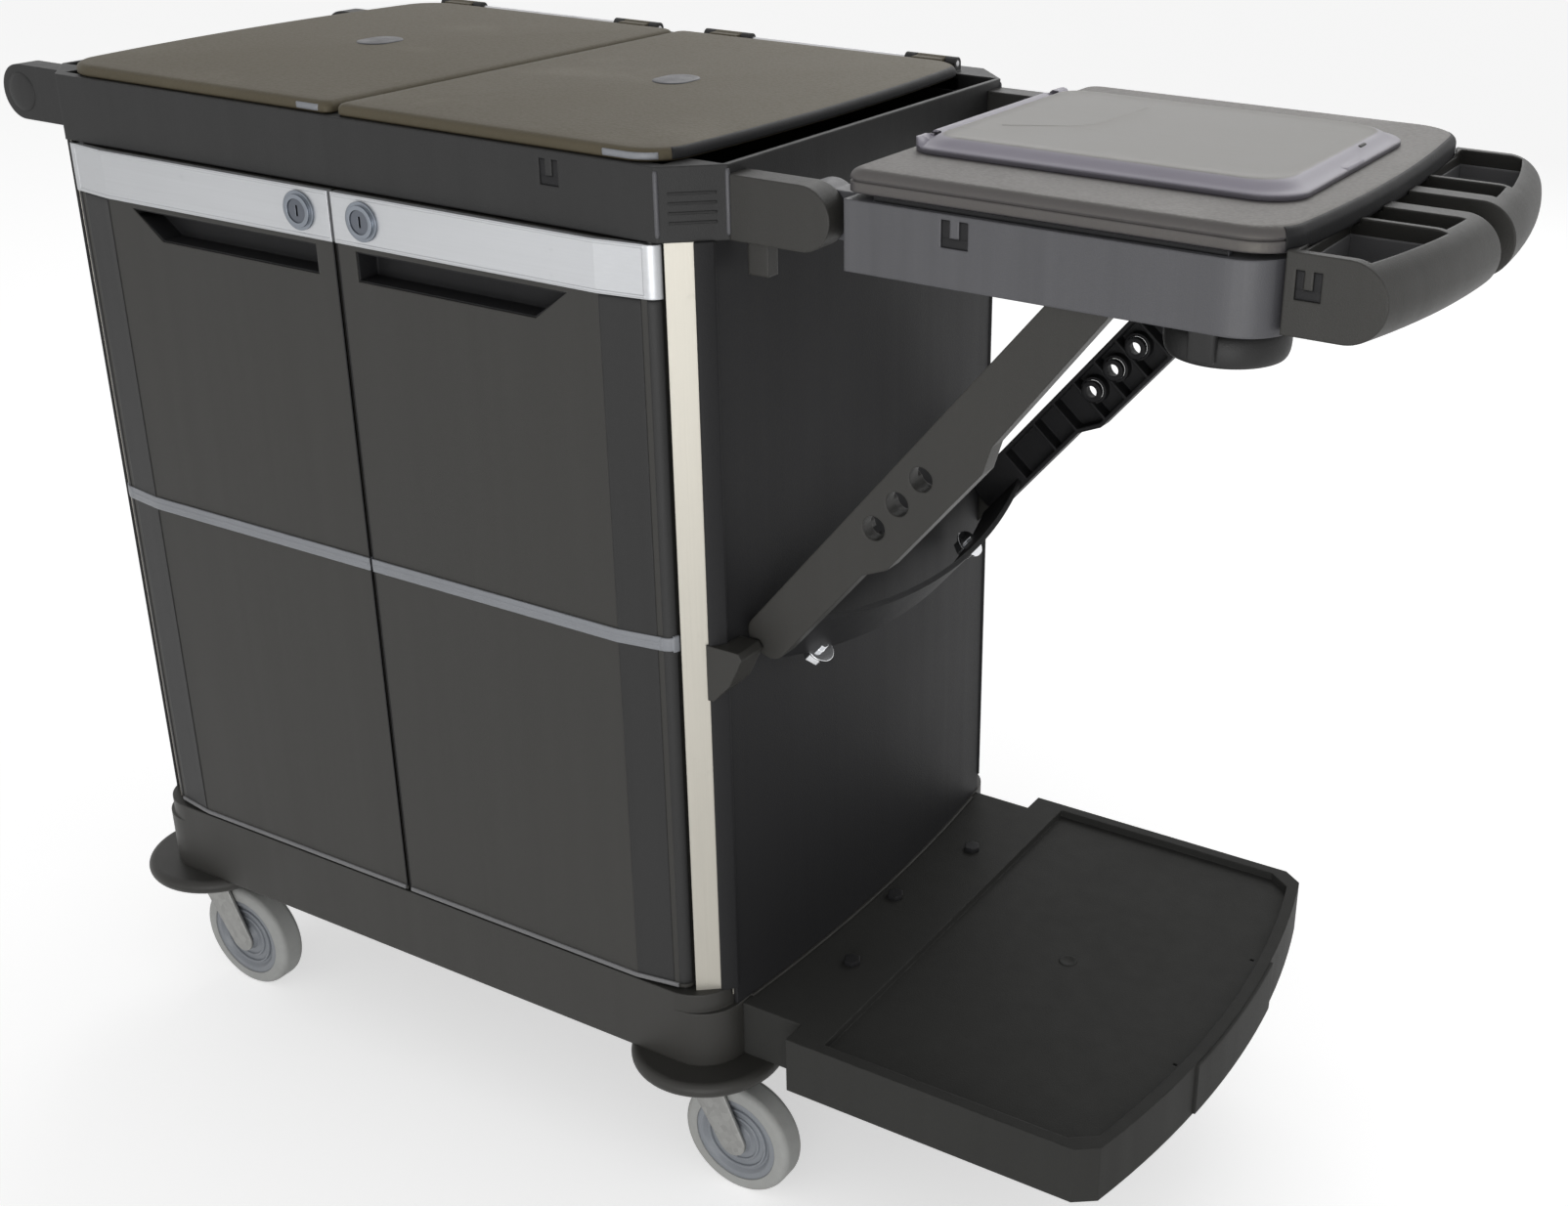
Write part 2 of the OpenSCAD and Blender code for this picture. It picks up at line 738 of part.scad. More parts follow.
module door_plan() {
    door_front(0);
    translate([hinge_ax, hinge_ay]) circle(door_hinge_r);
    polygon([[bend_x, door_rear - 6], [hinge_ax, hinge_ay - 2], [hinge_ax, hinge_ay + door_hinge_r],
        [bend_x, door_rear]]);
}

// Band along the door face, for a rail or strip and its seat
module face_band(proud, deep) {
    difference() { door_front(-proud); translate([0, deep]) door_front(0); }
}

// Grip pocket: slanted outer end, upright inner end
module grip_shape(grow) {
    x0 = door_x0 + 22 - grow;
    x1 = x0 + grip_l + 2 * grow;
    polygon([[x0, grip_z - grow], [x1 - 36, grip_z - grow], [x1, grip_z + grip_h + grow],
        [x0, grip_z + grip_h + grow]]);
}

module grip_block(grow, deep) {
    translate([0, face_y + deep, 0]) rotate([90, 0, 0]) linear_extrude(deep + past) grip_shape(grow);
}

module door_panel(left) {
    rib_zs = [for (k = [0:4]) door_z + 12 + k * (grip_z - 30 - door_z) / 5];
    rib_step = (grip_z - 30 - door_z) / 5;
    color(plastic) left_of(left) difference() {
        union() {
            difference() {
                translate([0, 0, door_z]) linear_extrude(door_h) door_plan();
                for (z = rib_zs, k = [0, 1]) block([door_x0 + 6 + k * (bend_x - door_x0) / 2,
                    face_y + skin + 6, z],
                    [door_x0 + (k + 1) * (bend_x - door_x0) / 2, door_rear + past, z + rib_step - 6]);
            }
            intersection() {
                grip_block(4, grip_deep + 4);
                block([0, door_rear - 8, 0], [door_x1, door_rear + 40, deck_z]);
            }
        }
        translate([0, 0, rail_z]) linear_extrude(rail_h + past) face_band(past, rail_t - trim_proud);
        translate([0, 0, strip_z]) linear_extrude(strip_h) face_band(past, strip_t - trim_proud);
        grip_block(0, grip_deep);
        translate([lock_x, 0, lock_z]) y_rod(barrel_r + run, face_y - past, door_rear + past);
        for (z = [door_z - past, door_z + door_h - hinge_pin_l]) translate([hinge_ax, hinge_ay, z])
            cylinder(r = door_pin_r + run, h = hinge_pin_l + past);
    }
}

module door_rail(left) {
    color(silver) left_of(left) difference() {
        translate([0, 0, rail_z]) linear_extrude(rail_h) face_band(trim_proud, rail_t - trim_proud);
        translate([lock_x, 0, lock_z]) y_rod(barrel_r + run, face_y - 10, door_rear);
    }
}

module door_strip(left) {
    color(strip_grey) left_of(left) translate([0, 0, strip_z]) linear_extrude(strip_h)
        face_band(trim_proud, strip_t - trim_proud);
}

module lock_rosette(left) {
    color(chrome) left_of(left) translate([lock_x, 0, lock_z]) difference() {
        union() {
            y_rod(rosette_r, face_y - trim_proud - rosette_t / 2, face_y - trim_proud);
            y_rod(rosette_r - 3, face_y - trim_proud - rosette_t, face_y - trim_proud);
        }
        y_rod(barrel_r + run, face_y - 20, face_y);
    }
}

// Barrel with a key slot in front and the cam behind
module lock_barrel(left) {
    front = face_y - trim_proud - rosette_t + 1;
    color(fork_grey) left_of(left) translate([lock_x, 0, lock_z]) difference() {
        union() {
            y_rod(barrel_r, front, cam_y);
            block([-cam_w / 2, cam_y, -cam_w / 2], [cam_l - cam_w / 2, cam_y + cam_t, cam_w / 2]);
            translate([cam_l - cam_w / 2, 0, 0]) y_rod(cam_w / 2, cam_y, cam_y + cam_t);
        }
        block([-1.2, front - past, -5], [1.2, front + 4, 5]);
    }
}

module door_hinge_pins() {
    color(chrome) both_ends() {
        translate([hinge_ax, hinge_ay, base_top - hinge_pin_in]) cylinder(r = door_pin_r,
            h = hinge_pin_in + hinge_pin_l);
        translate([hinge_ax, hinge_ay, deck_z - hinge_pin_l]) cylinder(r = door_pin_r,
            h = hinge_pin_in + hinge_pin_l);
    }
}

// Bag frame outline with round outer corners at the free end
module frame_plan() {
    round_rect(frame_x0, -frame_hw, frame_x1, frame_hw, frame_r);
    translate([frame_x0, -frame_hw]) square([frame_l / 2, 2 * frame_hw]);
}

module bag_frame() {
    color(plastic_light) difference() {
        union() {
            translate([0, 0, frame_z]) linear_extrude(frame_h) frame_plan();
            both_sides() {
                translate([hinge_x, 0, hinge_z]) y_rod(lug_r, -lug_y1, -lug_y0);
                block([hinge_x, -lug_y1, hinge_z - lug_r + 4], [frame_x0 + 2, -lug_y0, frame_top]);
                block([bag_rod_x - rod_lug, -rod_lug_y - rod_lug_w, frame_top - past],
                    [bag_rod_x + rod_lug, -rod_lug_y, bag_rod_z + rod_lug - 1.1]);
                block([frame_x0 + 24, -bag_lid_hw, frame_top - past],
                    [frame_x1 - frame_r, -bag_lid_hw + bag_lid_t + 4, bag_lid_z - rest_gap]);
            }
        }
        translate([0, 0, frame_z - past]) linear_extrude(frame_h + 2 * past)
            round_rect(frame_x0 + rail_w, -frame_hw + rail_w, frame_x1 - rail_w + 4, frame_hw - rail_w, 18);
        both_sides() block([frame_x0 + rail_w, -chan_y1, frame_z - past],
            [frame_x1 - rail_w + rail_wall, -chan_y0, frame_top - rail_wall]);
        block([frame_x0 + rail_wall, -chan_y0 + 6, frame_z - past],
            [frame_x0 + rail_w - rail_wall, chan_y0 - 6, frame_top - rail_wall]);
        block([frame_x1 - rail_w + 2 * rail_wall, -chan_y0 + 16, frame_z - past],
            [frame_x1 - rail_wall, chan_y0 - 16, frame_top - rail_wall]);
        translate([hinge_x, 0, hinge_z]) both_sides()
            y_rod(bag_pin_r + run, -lug_y1 - past, -lug_y0 + past);
        translate([strut_px, 0, strut_pz]) both_sides()
            y_rod(strut_pin_r, -chan_y1 - 2, -chan_y0 + rail_wall + past);
        translate([bag_rod_x, 0, bag_rod_z]) y_rod(rod_r, -lid_lug_y, lid_lug_y);
        translate([frame_x0 + 100, -frame_hw, frame_z + frame_h * 0.74]) clip_recess(24, 22, 3);
    }
}

module strut_pins() {
    color(chrome) translate([strut_px, 0, strut_pz]) both_sides()
        y_rod(strut_pin_r, -chan_y1 - 2, -chan_y0 + rail_wall);
}

// End tray: two grip lobes with a half-round edge swept along the bow
module lobe_sweep() {
    translate([tray_cx, 0, tray_z + lobe_r]) rotate_extrude($fn = 256) union() {
        translate([tray_r - lobe_r, 0]) circle(lobe_r, $fn = 64);
        translate([tray_r - lobe_r - 90, -lobe_r]) square([90, tray_h]);
    }
}

// Hollow of a lobe between two places along the bow
module lobe_pocket(y0, y1, x0, wall) {
    intersection() {
        block([x0, y0, tray_z + 4], [tray_x1 + tray_bow, y1, tray_z + tray_h + past]);
        translate([tray_cx, 0, tray_z]) cylinder(r = tray_r - wall, h = 2 * tray_h, $fn = 256);
    }
}

module bag_end_tray() {
    divider = 86;
    color(plastic_light) difference() {
        intersection() {
            lobe_sweep();
            block([frame_x1, -tray_hw, tray_z], [tray_x1 + 2 * tray_bow, tray_hw, tray_z + tray_h]);
        }
        both_sides() {
            lobe_pocket(-tray_hw + 8, -divider - 3, frame_x1 + 6, 20);
            lobe_pocket(-divider + 3, -notch_w / 2 - 20, frame_x1 + 6, 24);
            translate([frame_x1 + 18, -tray_hw, tray_z + tray_h * 0.62]) clip_recess(20, 22, 3);
        }
        block([frame_x1 + 6, -notch_w / 2, tray_z - past],
            [tray_x1 + 2 * tray_bow, notch_w / 2, tray_z + tray_h + past]);
        translate([0, 0, bag_lid_z - rest_gap]) linear_extrude(tray_h) bag_lid_plan(-lid_room);
    }
}

// Band ring that holds a mop handle, hung from the frame by a short stem
module hook_ring() {
    z = frame_z - ring_drop - ring_h;
    color(plastic) {
        translate([ring_x, ring_y, z]) {
            rotate_extrude() translate([ring_r - ring_t, 0]) round_rect(0, 0, ring_t, ring_h, ring_t * 0.45);
            difference() {
                union() {
                    translate([-11, -ring_r - 4, 0]) cube([22, 9, ring_h]);
                    translate([-11, ring_hang_y - ring_y, 0]) cube([22, 6, ring_h + ring_drop + 30]);
                }
                translate([0, 0, -past]) cylinder(r = ring_r - ring_t / 2, h = ring_h + ring_drop);
            }
        }
    }
}

module bag_lid_rod() {
    color(chrome) translate([bag_rod_x, 0, bag_rod_z]) y_rod(rod_r, -bag_rod_end, bag_rod_end);
}

// Bag lid outline: straight hinge edge, bowed free edge
module bag_lid_plan(inset) {
    polygon(bowed_outline(bag_lid_x0 + inset, bag_lid_end - inset, bag_lid_hw - inset, bag_lid_bow,
        12 - inset, bag_lid_r - inset));
}

// Slice of the bag lid's outline between two heights above its foot
module bag_lid_slice(inset, z0, z1) {
    translate([0, 0, bag_lid_z + z0]) linear_extrude(z1 - z0) bag_lid_plan(inset);
}

// Bag lid: hollow shell with a band round its foot, a bevelled top and an opening for the paper tray
module bag_lid() {
    color(plastic) difference() {
        union() {
            difference() {
                union() {
                    bag_lid_slice(0, 0, bag_lid_band);
                    bag_lid_slice(lid_groove, bag_lid_band - past, bag_lid_band + lid_groove + past);
                    bag_lid_slice(0, bag_lid_band + lid_groove, bag_lid_h - bag_lid_bevel);
                    hull() {
                        bag_lid_slice(0, bag_lid_h - bag_lid_bevel - past, bag_lid_h - bag_lid_bevel);
                        bag_lid_slice(bag_lid_bevel, bag_lid_h - past, bag_lid_h);
                    }
                }
                bag_lid_slice(bag_lid_t + lid_groove, -past, bag_lid_h - bag_lid_t);
            }
            both_sides() {
                block([bag_rod_x - 5, -lid_lug_y - lid_lug_w, bag_rod_z - 5],
                    [bag_rod_x + 5, -lid_lug_y, bag_lid_top - past]);
                block([cover_pin_x - 4, -cover_lug_y - cover_lug_w, bag_lid_top - past],
                    [cover_pin_x + 4, -cover_lug_y, cover_pin_z + 3.5]);
            }
        }
        sheet_box(sheet_wall + sheet_play, bag_lid_z - past, bag_lid_top + past);
        translate([bag_rod_x, 0, bag_rod_z]) y_rod(rod_r + run, -bag_rod_end - 5, bag_rod_end + 5);
        translate([cover_pin_x, 0, cover_pin_z]) both_sides()
            y_rod(cover_pin_r, -cover_lug_y - cover_lug_w - 10, -cover_lug_y + 7);
        both_sides() block([bag_rod_x - lid_slot - 1, -rod_lug_y - rod_lug_w - 1, bag_lid_z - past],
            [bag_rod_x + lid_slot + 1, -rod_lug_y + 1, bag_rod_z + lid_slot]);
    }
}

// Plan of the paper tray's inside, grown by a wall and drawn between two heights
module sheet_box(grow, z0, z1) {
    block([sheet_x0 - grow, -sheet_hw - grow, z0], [sheet_x1 + grow, sheet_hw + grow, z1]);
}

// Shallow tray under the smoky cover, hung by its lip in the bag lid's opening
module paper_tray() {
    color(plastic) difference() {
        union() {
            sheet_box(sheet_wall, bag_lid_top - sheet_deep - sheet_wall, bag_lid_top + past);
            sheet_box(sheet_wall + sheet_lip, bag_lid_top, bag_lid_top + sheet_lip_t);
        }
        sheet_box(0, bag_lid_top - sheet_deep, bag_lid_top + sheet_lip_t + past);
    }
}

module cover_pin() {
    color(chrome) translate([cover_pin_x, 0, cover_pin_z]) both_sides()
        y_rod(cover_pin_r, -cover_lug_y - cover_lug_w - 14, -cover_lug_y + 12);
}

// Smoky cover: bevelled shell with a finger tab and two hinge ears
module cover_plan(inset) {
    round_rect(cover_x0 + inset, -cover_w / 2 + inset, cover_x0 + cover_l - inset, cover_w / 2 - inset, 26);
}

module smoky_cover() {
    color(smoke) difference() {
        union() {
            difference() {
                translate([0, 0, cover_z]) hull() {
                    linear_extrude(5) cover_plan(0, $fn = 32);
                    linear_extrude(cover_h) cover_plan(12, $fn = 32);
                }
                translate([0, 0, cover_z - past]) hull() {
                    linear_extrude(3) cover_plan(3, $fn = 32);
                    linear_extrude(cover_h - 3 + past) cover_plan(14, $fn = 32);
                }
            }
            both_sides() block([cover_pin_x - 3.5, -cover_lug_y + 1, cover_pin_z - 3.5],
                [cover_pin_x + 5, -cover_lug_y + 8, cover_pin_z + 4]);
        }
        translate([cover_pin_x, 0, cover_pin_z]) y_rod(cover_pin_r + run, -cover_w / 2 + 10,
            cover_w / 2 - 10);
        both_sides() block([cover_x0 - past, -cover_lug_y - cover_lug_w - 1, cover_z - past],
            [cover_pin_x + 6, -cover_lug_y + 0.5, cover_pin_z + 20]);
        difference() {
            block([cover_x0 - past, -cover_w / 2 - past, cover_z - past],
                [cover_pin_x, cover_w / 2 + past, cover_z + 2 * cover_h]);
            translate([cover_pin_x, 0, cover_pin_z])
                y_rod(cover_roll, -cover_w / 2 - 2 * past, cover_w / 2 + 2 * past);
        }
    }
}

// Puts a shape drawn along a strut, foot at the origin and length along +X, in its place
module along_strut() { translate([foot_x, 0, foot_z]) rotate([0, -strut_rise, 0]) children(); }

// Side outline of a strut: straight back edge, wider middle, round pivot end
module strut_plan(k) {
    foot_r = strut_foot_r - k;
    end_r = strut_end_r - k;
    polygon(concat(
        arc(strut_foot_r - foot_over, strut_back - strut_foot_r, foot_r, 180, 90),
        arc(strut_l, 0, end_r, 90, -90),
        [[strut_wide1 + strut_step - k / 2, -strut_upper + k], [strut_wide1 - k / 2, -strut_wide + k],
        [strut_wide0 + strut_step + k / 2, -strut_wide + k], [strut_wide0 + k / 2, -strut_lower + k]],
        arc(strut_foot_r - foot_over, strut_foot_r - strut_lower, foot_r, 270, 180)
    ));
}

module strut(rear) {
    color(plastic_light) rear_of(rear) difference() {
        along_strut() union() {
            difference() {
                translate([0, -strut_y0, 0]) rotate([90, 0, 0]) linear_extrude(strut_w) strut_plan(0);
                difference() {
                    translate([0, -strut_y0 + past, 0]) rotate([90, 0, 0])
                        linear_extrude(strut_w - strut_wall + past) strut_plan(strut_wall);
                    block([-20, -strut_y1, -60], [foot_l, -strut_y0, 60]);
                    for (t = [foot_l + 50:34:strut_l - 100]) block([t - 1.5, -strut_y1, -60],
                        [t + 1.5, -strut_y0, 60]);
                    translate([strut_l, 0, 0]) y_rod(strut_pin_r + 7, -strut_y1, -strut_y0);
                    for (t = strut_holes) translate([t, 0, -4])
                        y_rod(strut_hole_r + 3, -strut_y1, -strut_y0 - 6);
                }
            }
        }
        along_strut() {
            for (t = strut_holes) translate([t, 0, -4])
                y_rod(strut_hole_r, -strut_y1 - past, -strut_y0 + past);
            translate([strut_l, 0, 0]) y_rod(strut_pin_r + run, -strut_y1 - past, -strut_y0 + past);
        }
    }
}

// Bowed apron between the two struts
module strut_apron() {
    half = strut_y0;
    r = (half * half + apron_bow * apron_bow) / (2 * apron_bow);
    color(plastic) along_strut() translate([-apron_low, 0, 0]) rotate([0, 90, 0])
        linear_extrude(apron_l) intersection() {
            translate([apron_in + apron_bow - r, 0]) difference() {
                circle(r, $fn = 512);
                circle(r - apron_t, $fn = 512);
            }
            translate([0, -half]) square([apron_bow + 20, 2 * half]);
        }
}

// Chrome hex bolts in the apron's lower edge
module strut_bolts() {
    y = strut_y0 * 0.73;
    n = apron_place(y) - apron_t / 2;
    color(chrome) along_strut() both_sides() translate([-apron_low, -y, -n]) rotate([0, -90, 0]) {
        cylinder(r = hex_r, h = hex_h, $fn = 6);
        translate([0, 0, hex_h]) cylinder(r = hex_shank_r, h = hex_shank_l);
    }
}

// Outer place of the apron across the struts' plane, at a distance from the middle
function apron_place(y) =
    let (half = strut_y0, r = (half * half + apron_bow * apron_bow) / (2 * apron_bow))
    apron_in + apron_bow - r + sqrt(r * r - y * y);

// Wedge on a post beside a strut's foot
module strut_catches() {
    color(plastic_light) both_sides() difference() {
        translate([0, -catch_y0, catch_z]) rotate([90, 0, 0]) linear_extrude(catch_w)
            polygon([[post_x1 - 8, 0], [post_x1 - 2, 0], [panel_x + 12, 20],
                [panel_x + catch_out, catch_h - 6],
                [panel_x + catch_out - 4, catch_h], [post_x1 - 8, catch_h]]);
        translate([0, 0, catch_z - past]) linear_extrude(catch_h + 2 * past) intersection() {
            panel_disc(0);
            translate([post_x1 - 20, -panel_half]) square([60, 2 * panel_half]);
        }
        translate([0, 0, catch_z - past]) linear_extrude(catch_h + 2 * past) post_socket();
    }
}

// Platform outline: narrow neck, slanted corners, bowed free end
module platform_plan(inset) {
    hw = platform_hw - inset;
    x1 = platform_x1 - inset;
    translate([panel_x, -hw + neck_step]) square([neck_l + 40, 2 * (hw - neck_step)]);
    intersection() {
        translate([platform_cx, 0]) circle(platform_r - inset, $fn = 256);
        polygon([[platform_neck_x + inset, -hw], [x1 - 36, -hw], [x1 + 40, -hw + 54],
            [x1 + 40, hw - 54], [x1 - 36, hw],
            [platform_neck_x + inset, hw]]);
    }
}

module lower_platform() {
    color(plastic) difference() {
        translate([0, 0, platform_z]) linear_extrude(platform_h) platform_plan(0);
        translate([0, 0, platform_top - platform_deep]) linear_extrude(platform_deep + past) difference() {
            platform_plan(platform_rim);
            square([2 * (platform_neck_x + 36), 2 * platform_w], center = true);
        }
        translate([platform_neck_x + 36, -platform_hw + platform_rim, platform_top - 2]) cube([4,
            platform_w - 2 * platform_rim, 10]);
        translate([0, 0, platform_z - past])
            linear_extrude(platform_h - platform_deep - platform_wall + past) difference() {
            platform_plan(platform_wall);
            for (y = [-150, -50, 50, 150]) translate([0, y - 2]) square([2 * platform_x1, 4]);
        }
        translate([0, 0, platform_z - past]) linear_extrude(ledge_h + past)
            square([2 * (panel_reach + ledge_l), platform_w - 180], center = true);
        translate([0, 0, platform_z - past]) linear_extrude(platform_h + 2 * past) base_plan();
        translate([0, 0, shoulder_z - past]) linear_extrude(platform_h) panel_disc(0);
        block([platform_x1 - 12, -100, platform_z - past], [platform_x1 - 8, -97, platform_top + past]);
        block([platform_x1 - 12, 97, platform_z - past], [platform_x1 - 8, 100, platform_top + past]);
        platform_bolt_places() translate([0, 0, platform_z - past]) cylinder(r = bolt_r,
            h = platform_h + 2 * past);
    }
}

module platform_bolt_places() {
    for (p = [[bolt_out, -bolt_y], [bolt_mid, 0], [bolt_out, bolt_y]])
        translate([panel_reach + p[0], p[1], 0]) children();
}

module platform_bolts() {
    color(plastic_light) platform_bolt_places() {
        translate([0, 0, base_z + ledge_low]) cylinder(r = bolt_r, h = platform_top - base_z - ledge_low);
        translate([0, 0, platform_top]) cylinder(r = bolt_head_r, h = bolt_head_h, $fn = 6);
    }
}

module caster_kingpins() {
    color(chrome) four_corners() translate([swivel_x, swivel_y, crown_z]) {
        cylinder(r = kingpin_r, h = base_z + kingpin_in - crown_z);
        translate([0, 0, -4]) cylinder(r = kingpin_r + 4, h = 4 - run);
    }
}

// Places a caster, drawn around its swivel axis and trailing towards +X, at a corner
module caster_at(left, rear) {
    translate([left ? -swivel_x : swivel_x, rear ? swivel_y : -swivel_y, 0]) children();
}

module fork(left, rear) {
    color(fork_grey) caster_at(left, rear) difference() {
        union() {
            translate([0, 0, crown_z]) cylinder(r = crown_r, h = crown_h);
            both_sides() translate([0, leg_y + leg_t, 0]) rotate([90, 0, 0]) linear_extrude(leg_t) {
                polygon([[-18, crown_z + 4], [-14, crown_z + crown_h], [16, crown_z + crown_h],
                    [24, crown_z + 4],
                    [trail + 13, wheel_r + 4], [trail - 13, wheel_r - 4]]);
                translate([trail, wheel_r]) circle(14);
            }
            translate([trail, 0, wheel_r]) {
                y_rod(axle_r, -leg_y - leg_t - 1, leg_y + leg_t + 1);
                both_sides() translate([0, leg_y + leg_t + 4, 0]) rotate([90, 0, 0]) cylinder(r = 8,
                    h = 4, $fn = 6);
            }
        }
        translate([0, 0, crown_z - past]) cylinder(r = kingpin_r + run, h = crown_h + 2 * past);
    }
}

// Wheel hub: rim, thin web and boss, turned about the axle
module hub(left, rear) {
    w = wheel_w / 2;
    color(hub_grey) caster_at(left, rear) translate([trail, 0, wheel_r]) rotate([90, 0, 0]) rotate_extrude()
        polygon([[axle_r + run, -w - 1], [14, -w - 1], [17, -w + 4], [wheel_r_in - 10, -w + 5],
            [wheel_r_in - 6, -w + 1],
            [wheel_r_in, -w + 1], [wheel_r_in, w - 1], [wheel_r_in - 6, w - 1],
                [wheel_r_in - 10, w - 5], [17, w - 4],
            [14, w + 1], [axle_r + run, w + 1]]);
}

// Tyre with a crowned tread and soft shoulders
module tyre(left, rear) {
    w = wheel_w / 2;
    color(tyre_grey) caster_at(left, rear) translate([trail, 0, wheel_r]) rotate([90, 0, 0])
        rotate_extrude() {
        translate([wheel_r_in, -w]) square([tyre_t - tyre_round, wheel_w]);
        translate([wheel_r_in, -w + tyre_round]) square([tyre_t, wheel_w - 2 * tyre_round]);
        for (s = [-1, 1]) translate([wheel_r - tyre_round, s * (w - tyre_round)]) circle(tyre_round);
    }
}

module centred() { translate([-mid_x, 0, 0]) children(); }

centred() base_tray();
centred() corner_bumpers();
centred() corner_post(true, false);  // corner_post_front_left
centred() corner_post(false, false);  // corner_post_front_right
centred() corner_post(true, true);  // corner_post_rear_left
centred() corner_post(false, true);  // corner_post_rear_right
centred() end_panel(true);  // end_panel_left
centred() end_panel(false);  // end_panel_right
centred() back_panel();
centred() middle_shelf();
centred() shelf_brackets();
centred() top_deck();
centred() handle_arms();
centred() push_bar();
centred() bag_hinge_arms();
centred() bag_hinge_pins();
centred() strut_catches();
centred() lower_platform();
centred() platform_bolts();
centred() door_hinge_pins();
centred() lid_hinge_rods();
centred() caster_kingpins();
centred() door_panel(true);  // door_panel_left
centred() door_rail(true);  // door_rail_left
centred() door_strip(true);  // door_strip_left
centred() lock_rosette(true);  // lock_rosette_left
centred() lock_barrel(true);  // lock_barrel_left
centred() door_panel(false);  // door_panel_right
centred() door_rail(false);  // door_rail_right
centred() door_strip(false);  // door_strip_right
centred() lock_rosette(false);  // lock_rosette_right
centred() lock_barrel(false);  // lock_barrel_right
centred() deck_lid(true);  // deck_lid_left
centred() deck_lid(false);  // deck_lid_right
centred() bag_frame();
centred() bag_end_tray();
centred() hook_ring();
centred() strut_pins();
centred() bag_lid_rod();
centred() bag_lid();
centred() paper_tray();
centred() cover_pin();
centred() smoky_cover();
centred() strut(false);  // strut_front
centred() strut(true);  // strut_rear
centred() strut_apron();
centred() strut_bolts();
centred() fork(true, false);  // fork_front_left
centred() hub(true, false);  // hub_front_left
centred() tyre(true, false);  // tyre_front_left
centred() fork(false, false);  // fork_front_right
centred() hub(false, false);  // hub_front_right
centred() tyre(false, false);  // tyre_front_right
centred() fork(true, true);  // fork_rear_left
centred() hub(true, true);  // hub_rear_left
centred() tyre(true, true);  // tyre_rear_left
centred() fork(false, true);  // fork_rear_right
centred() hub(false, true);  // hub_rear_right
centred() tyre(false, true);  // tyre_rear_right
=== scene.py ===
"""Looks of a two-door janitor cart: finishes for its CAD nodes, moulded fittings and a plain studio."""

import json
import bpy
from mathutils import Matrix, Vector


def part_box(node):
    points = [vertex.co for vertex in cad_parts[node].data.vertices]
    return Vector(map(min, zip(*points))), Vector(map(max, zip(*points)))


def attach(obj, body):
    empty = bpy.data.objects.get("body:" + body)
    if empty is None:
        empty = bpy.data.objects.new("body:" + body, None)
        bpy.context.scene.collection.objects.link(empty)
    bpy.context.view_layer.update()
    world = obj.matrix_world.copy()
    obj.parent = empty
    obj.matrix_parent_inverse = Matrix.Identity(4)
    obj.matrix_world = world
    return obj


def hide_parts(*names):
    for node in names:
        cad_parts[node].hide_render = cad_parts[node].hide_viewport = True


bl_info = {
    "name": "Janitor cart looks",
    "version": (1, 0, 0),
    "blender": (4, 5, 0),
    "location": "3D View > Sidebar > Cart",
    "description": "Finishes, fittings and studio for a two-door janitor cart",
    "category": "Object",
}

import bmesh
import bpy
import numpy as np
from bpy.props import FloatProperty, FloatVectorProperty, PointerProperty
from mathutils import Matrix, Vector

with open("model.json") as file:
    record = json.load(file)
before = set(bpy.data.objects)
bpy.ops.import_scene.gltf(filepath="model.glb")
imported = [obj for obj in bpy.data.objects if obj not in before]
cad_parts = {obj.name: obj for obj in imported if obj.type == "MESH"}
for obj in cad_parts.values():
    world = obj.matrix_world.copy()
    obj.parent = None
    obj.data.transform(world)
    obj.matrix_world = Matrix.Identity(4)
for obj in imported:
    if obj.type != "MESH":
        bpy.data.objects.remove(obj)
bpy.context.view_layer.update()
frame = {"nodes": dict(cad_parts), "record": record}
NODES = frame["nodes"]

SIDES = ("left", "right")
CORNERS = ("front_left", "front_right", "rear_left", "rear_right")
ALONG_X, ALONG_Y, ALONG_Z = np.eye(3)
WHITE = (1.0, 1.0, 1.0, 1.0)
MERGE, SLIVER = 1e-6, 1e-7


# ---------------- settings


def colour_setting(name, default, description):
    """A colour property in linear red, green and blue."""
    return FloatVectorProperty(
        name=name, description=description, default=default, subtype="COLOR", size=3, min=0.0, max=1.0
    )


def length_setting(name, default, description):
    """A length property in metres."""
    return FloatProperty(name=name, description=description, default=default, unit="LENGTH", min=0.0, max=2.0)


def amount_setting(name, default, description):
    """A power, strength or share."""
    return FloatProperty(name=name, description=description, default=default, min=0.0)


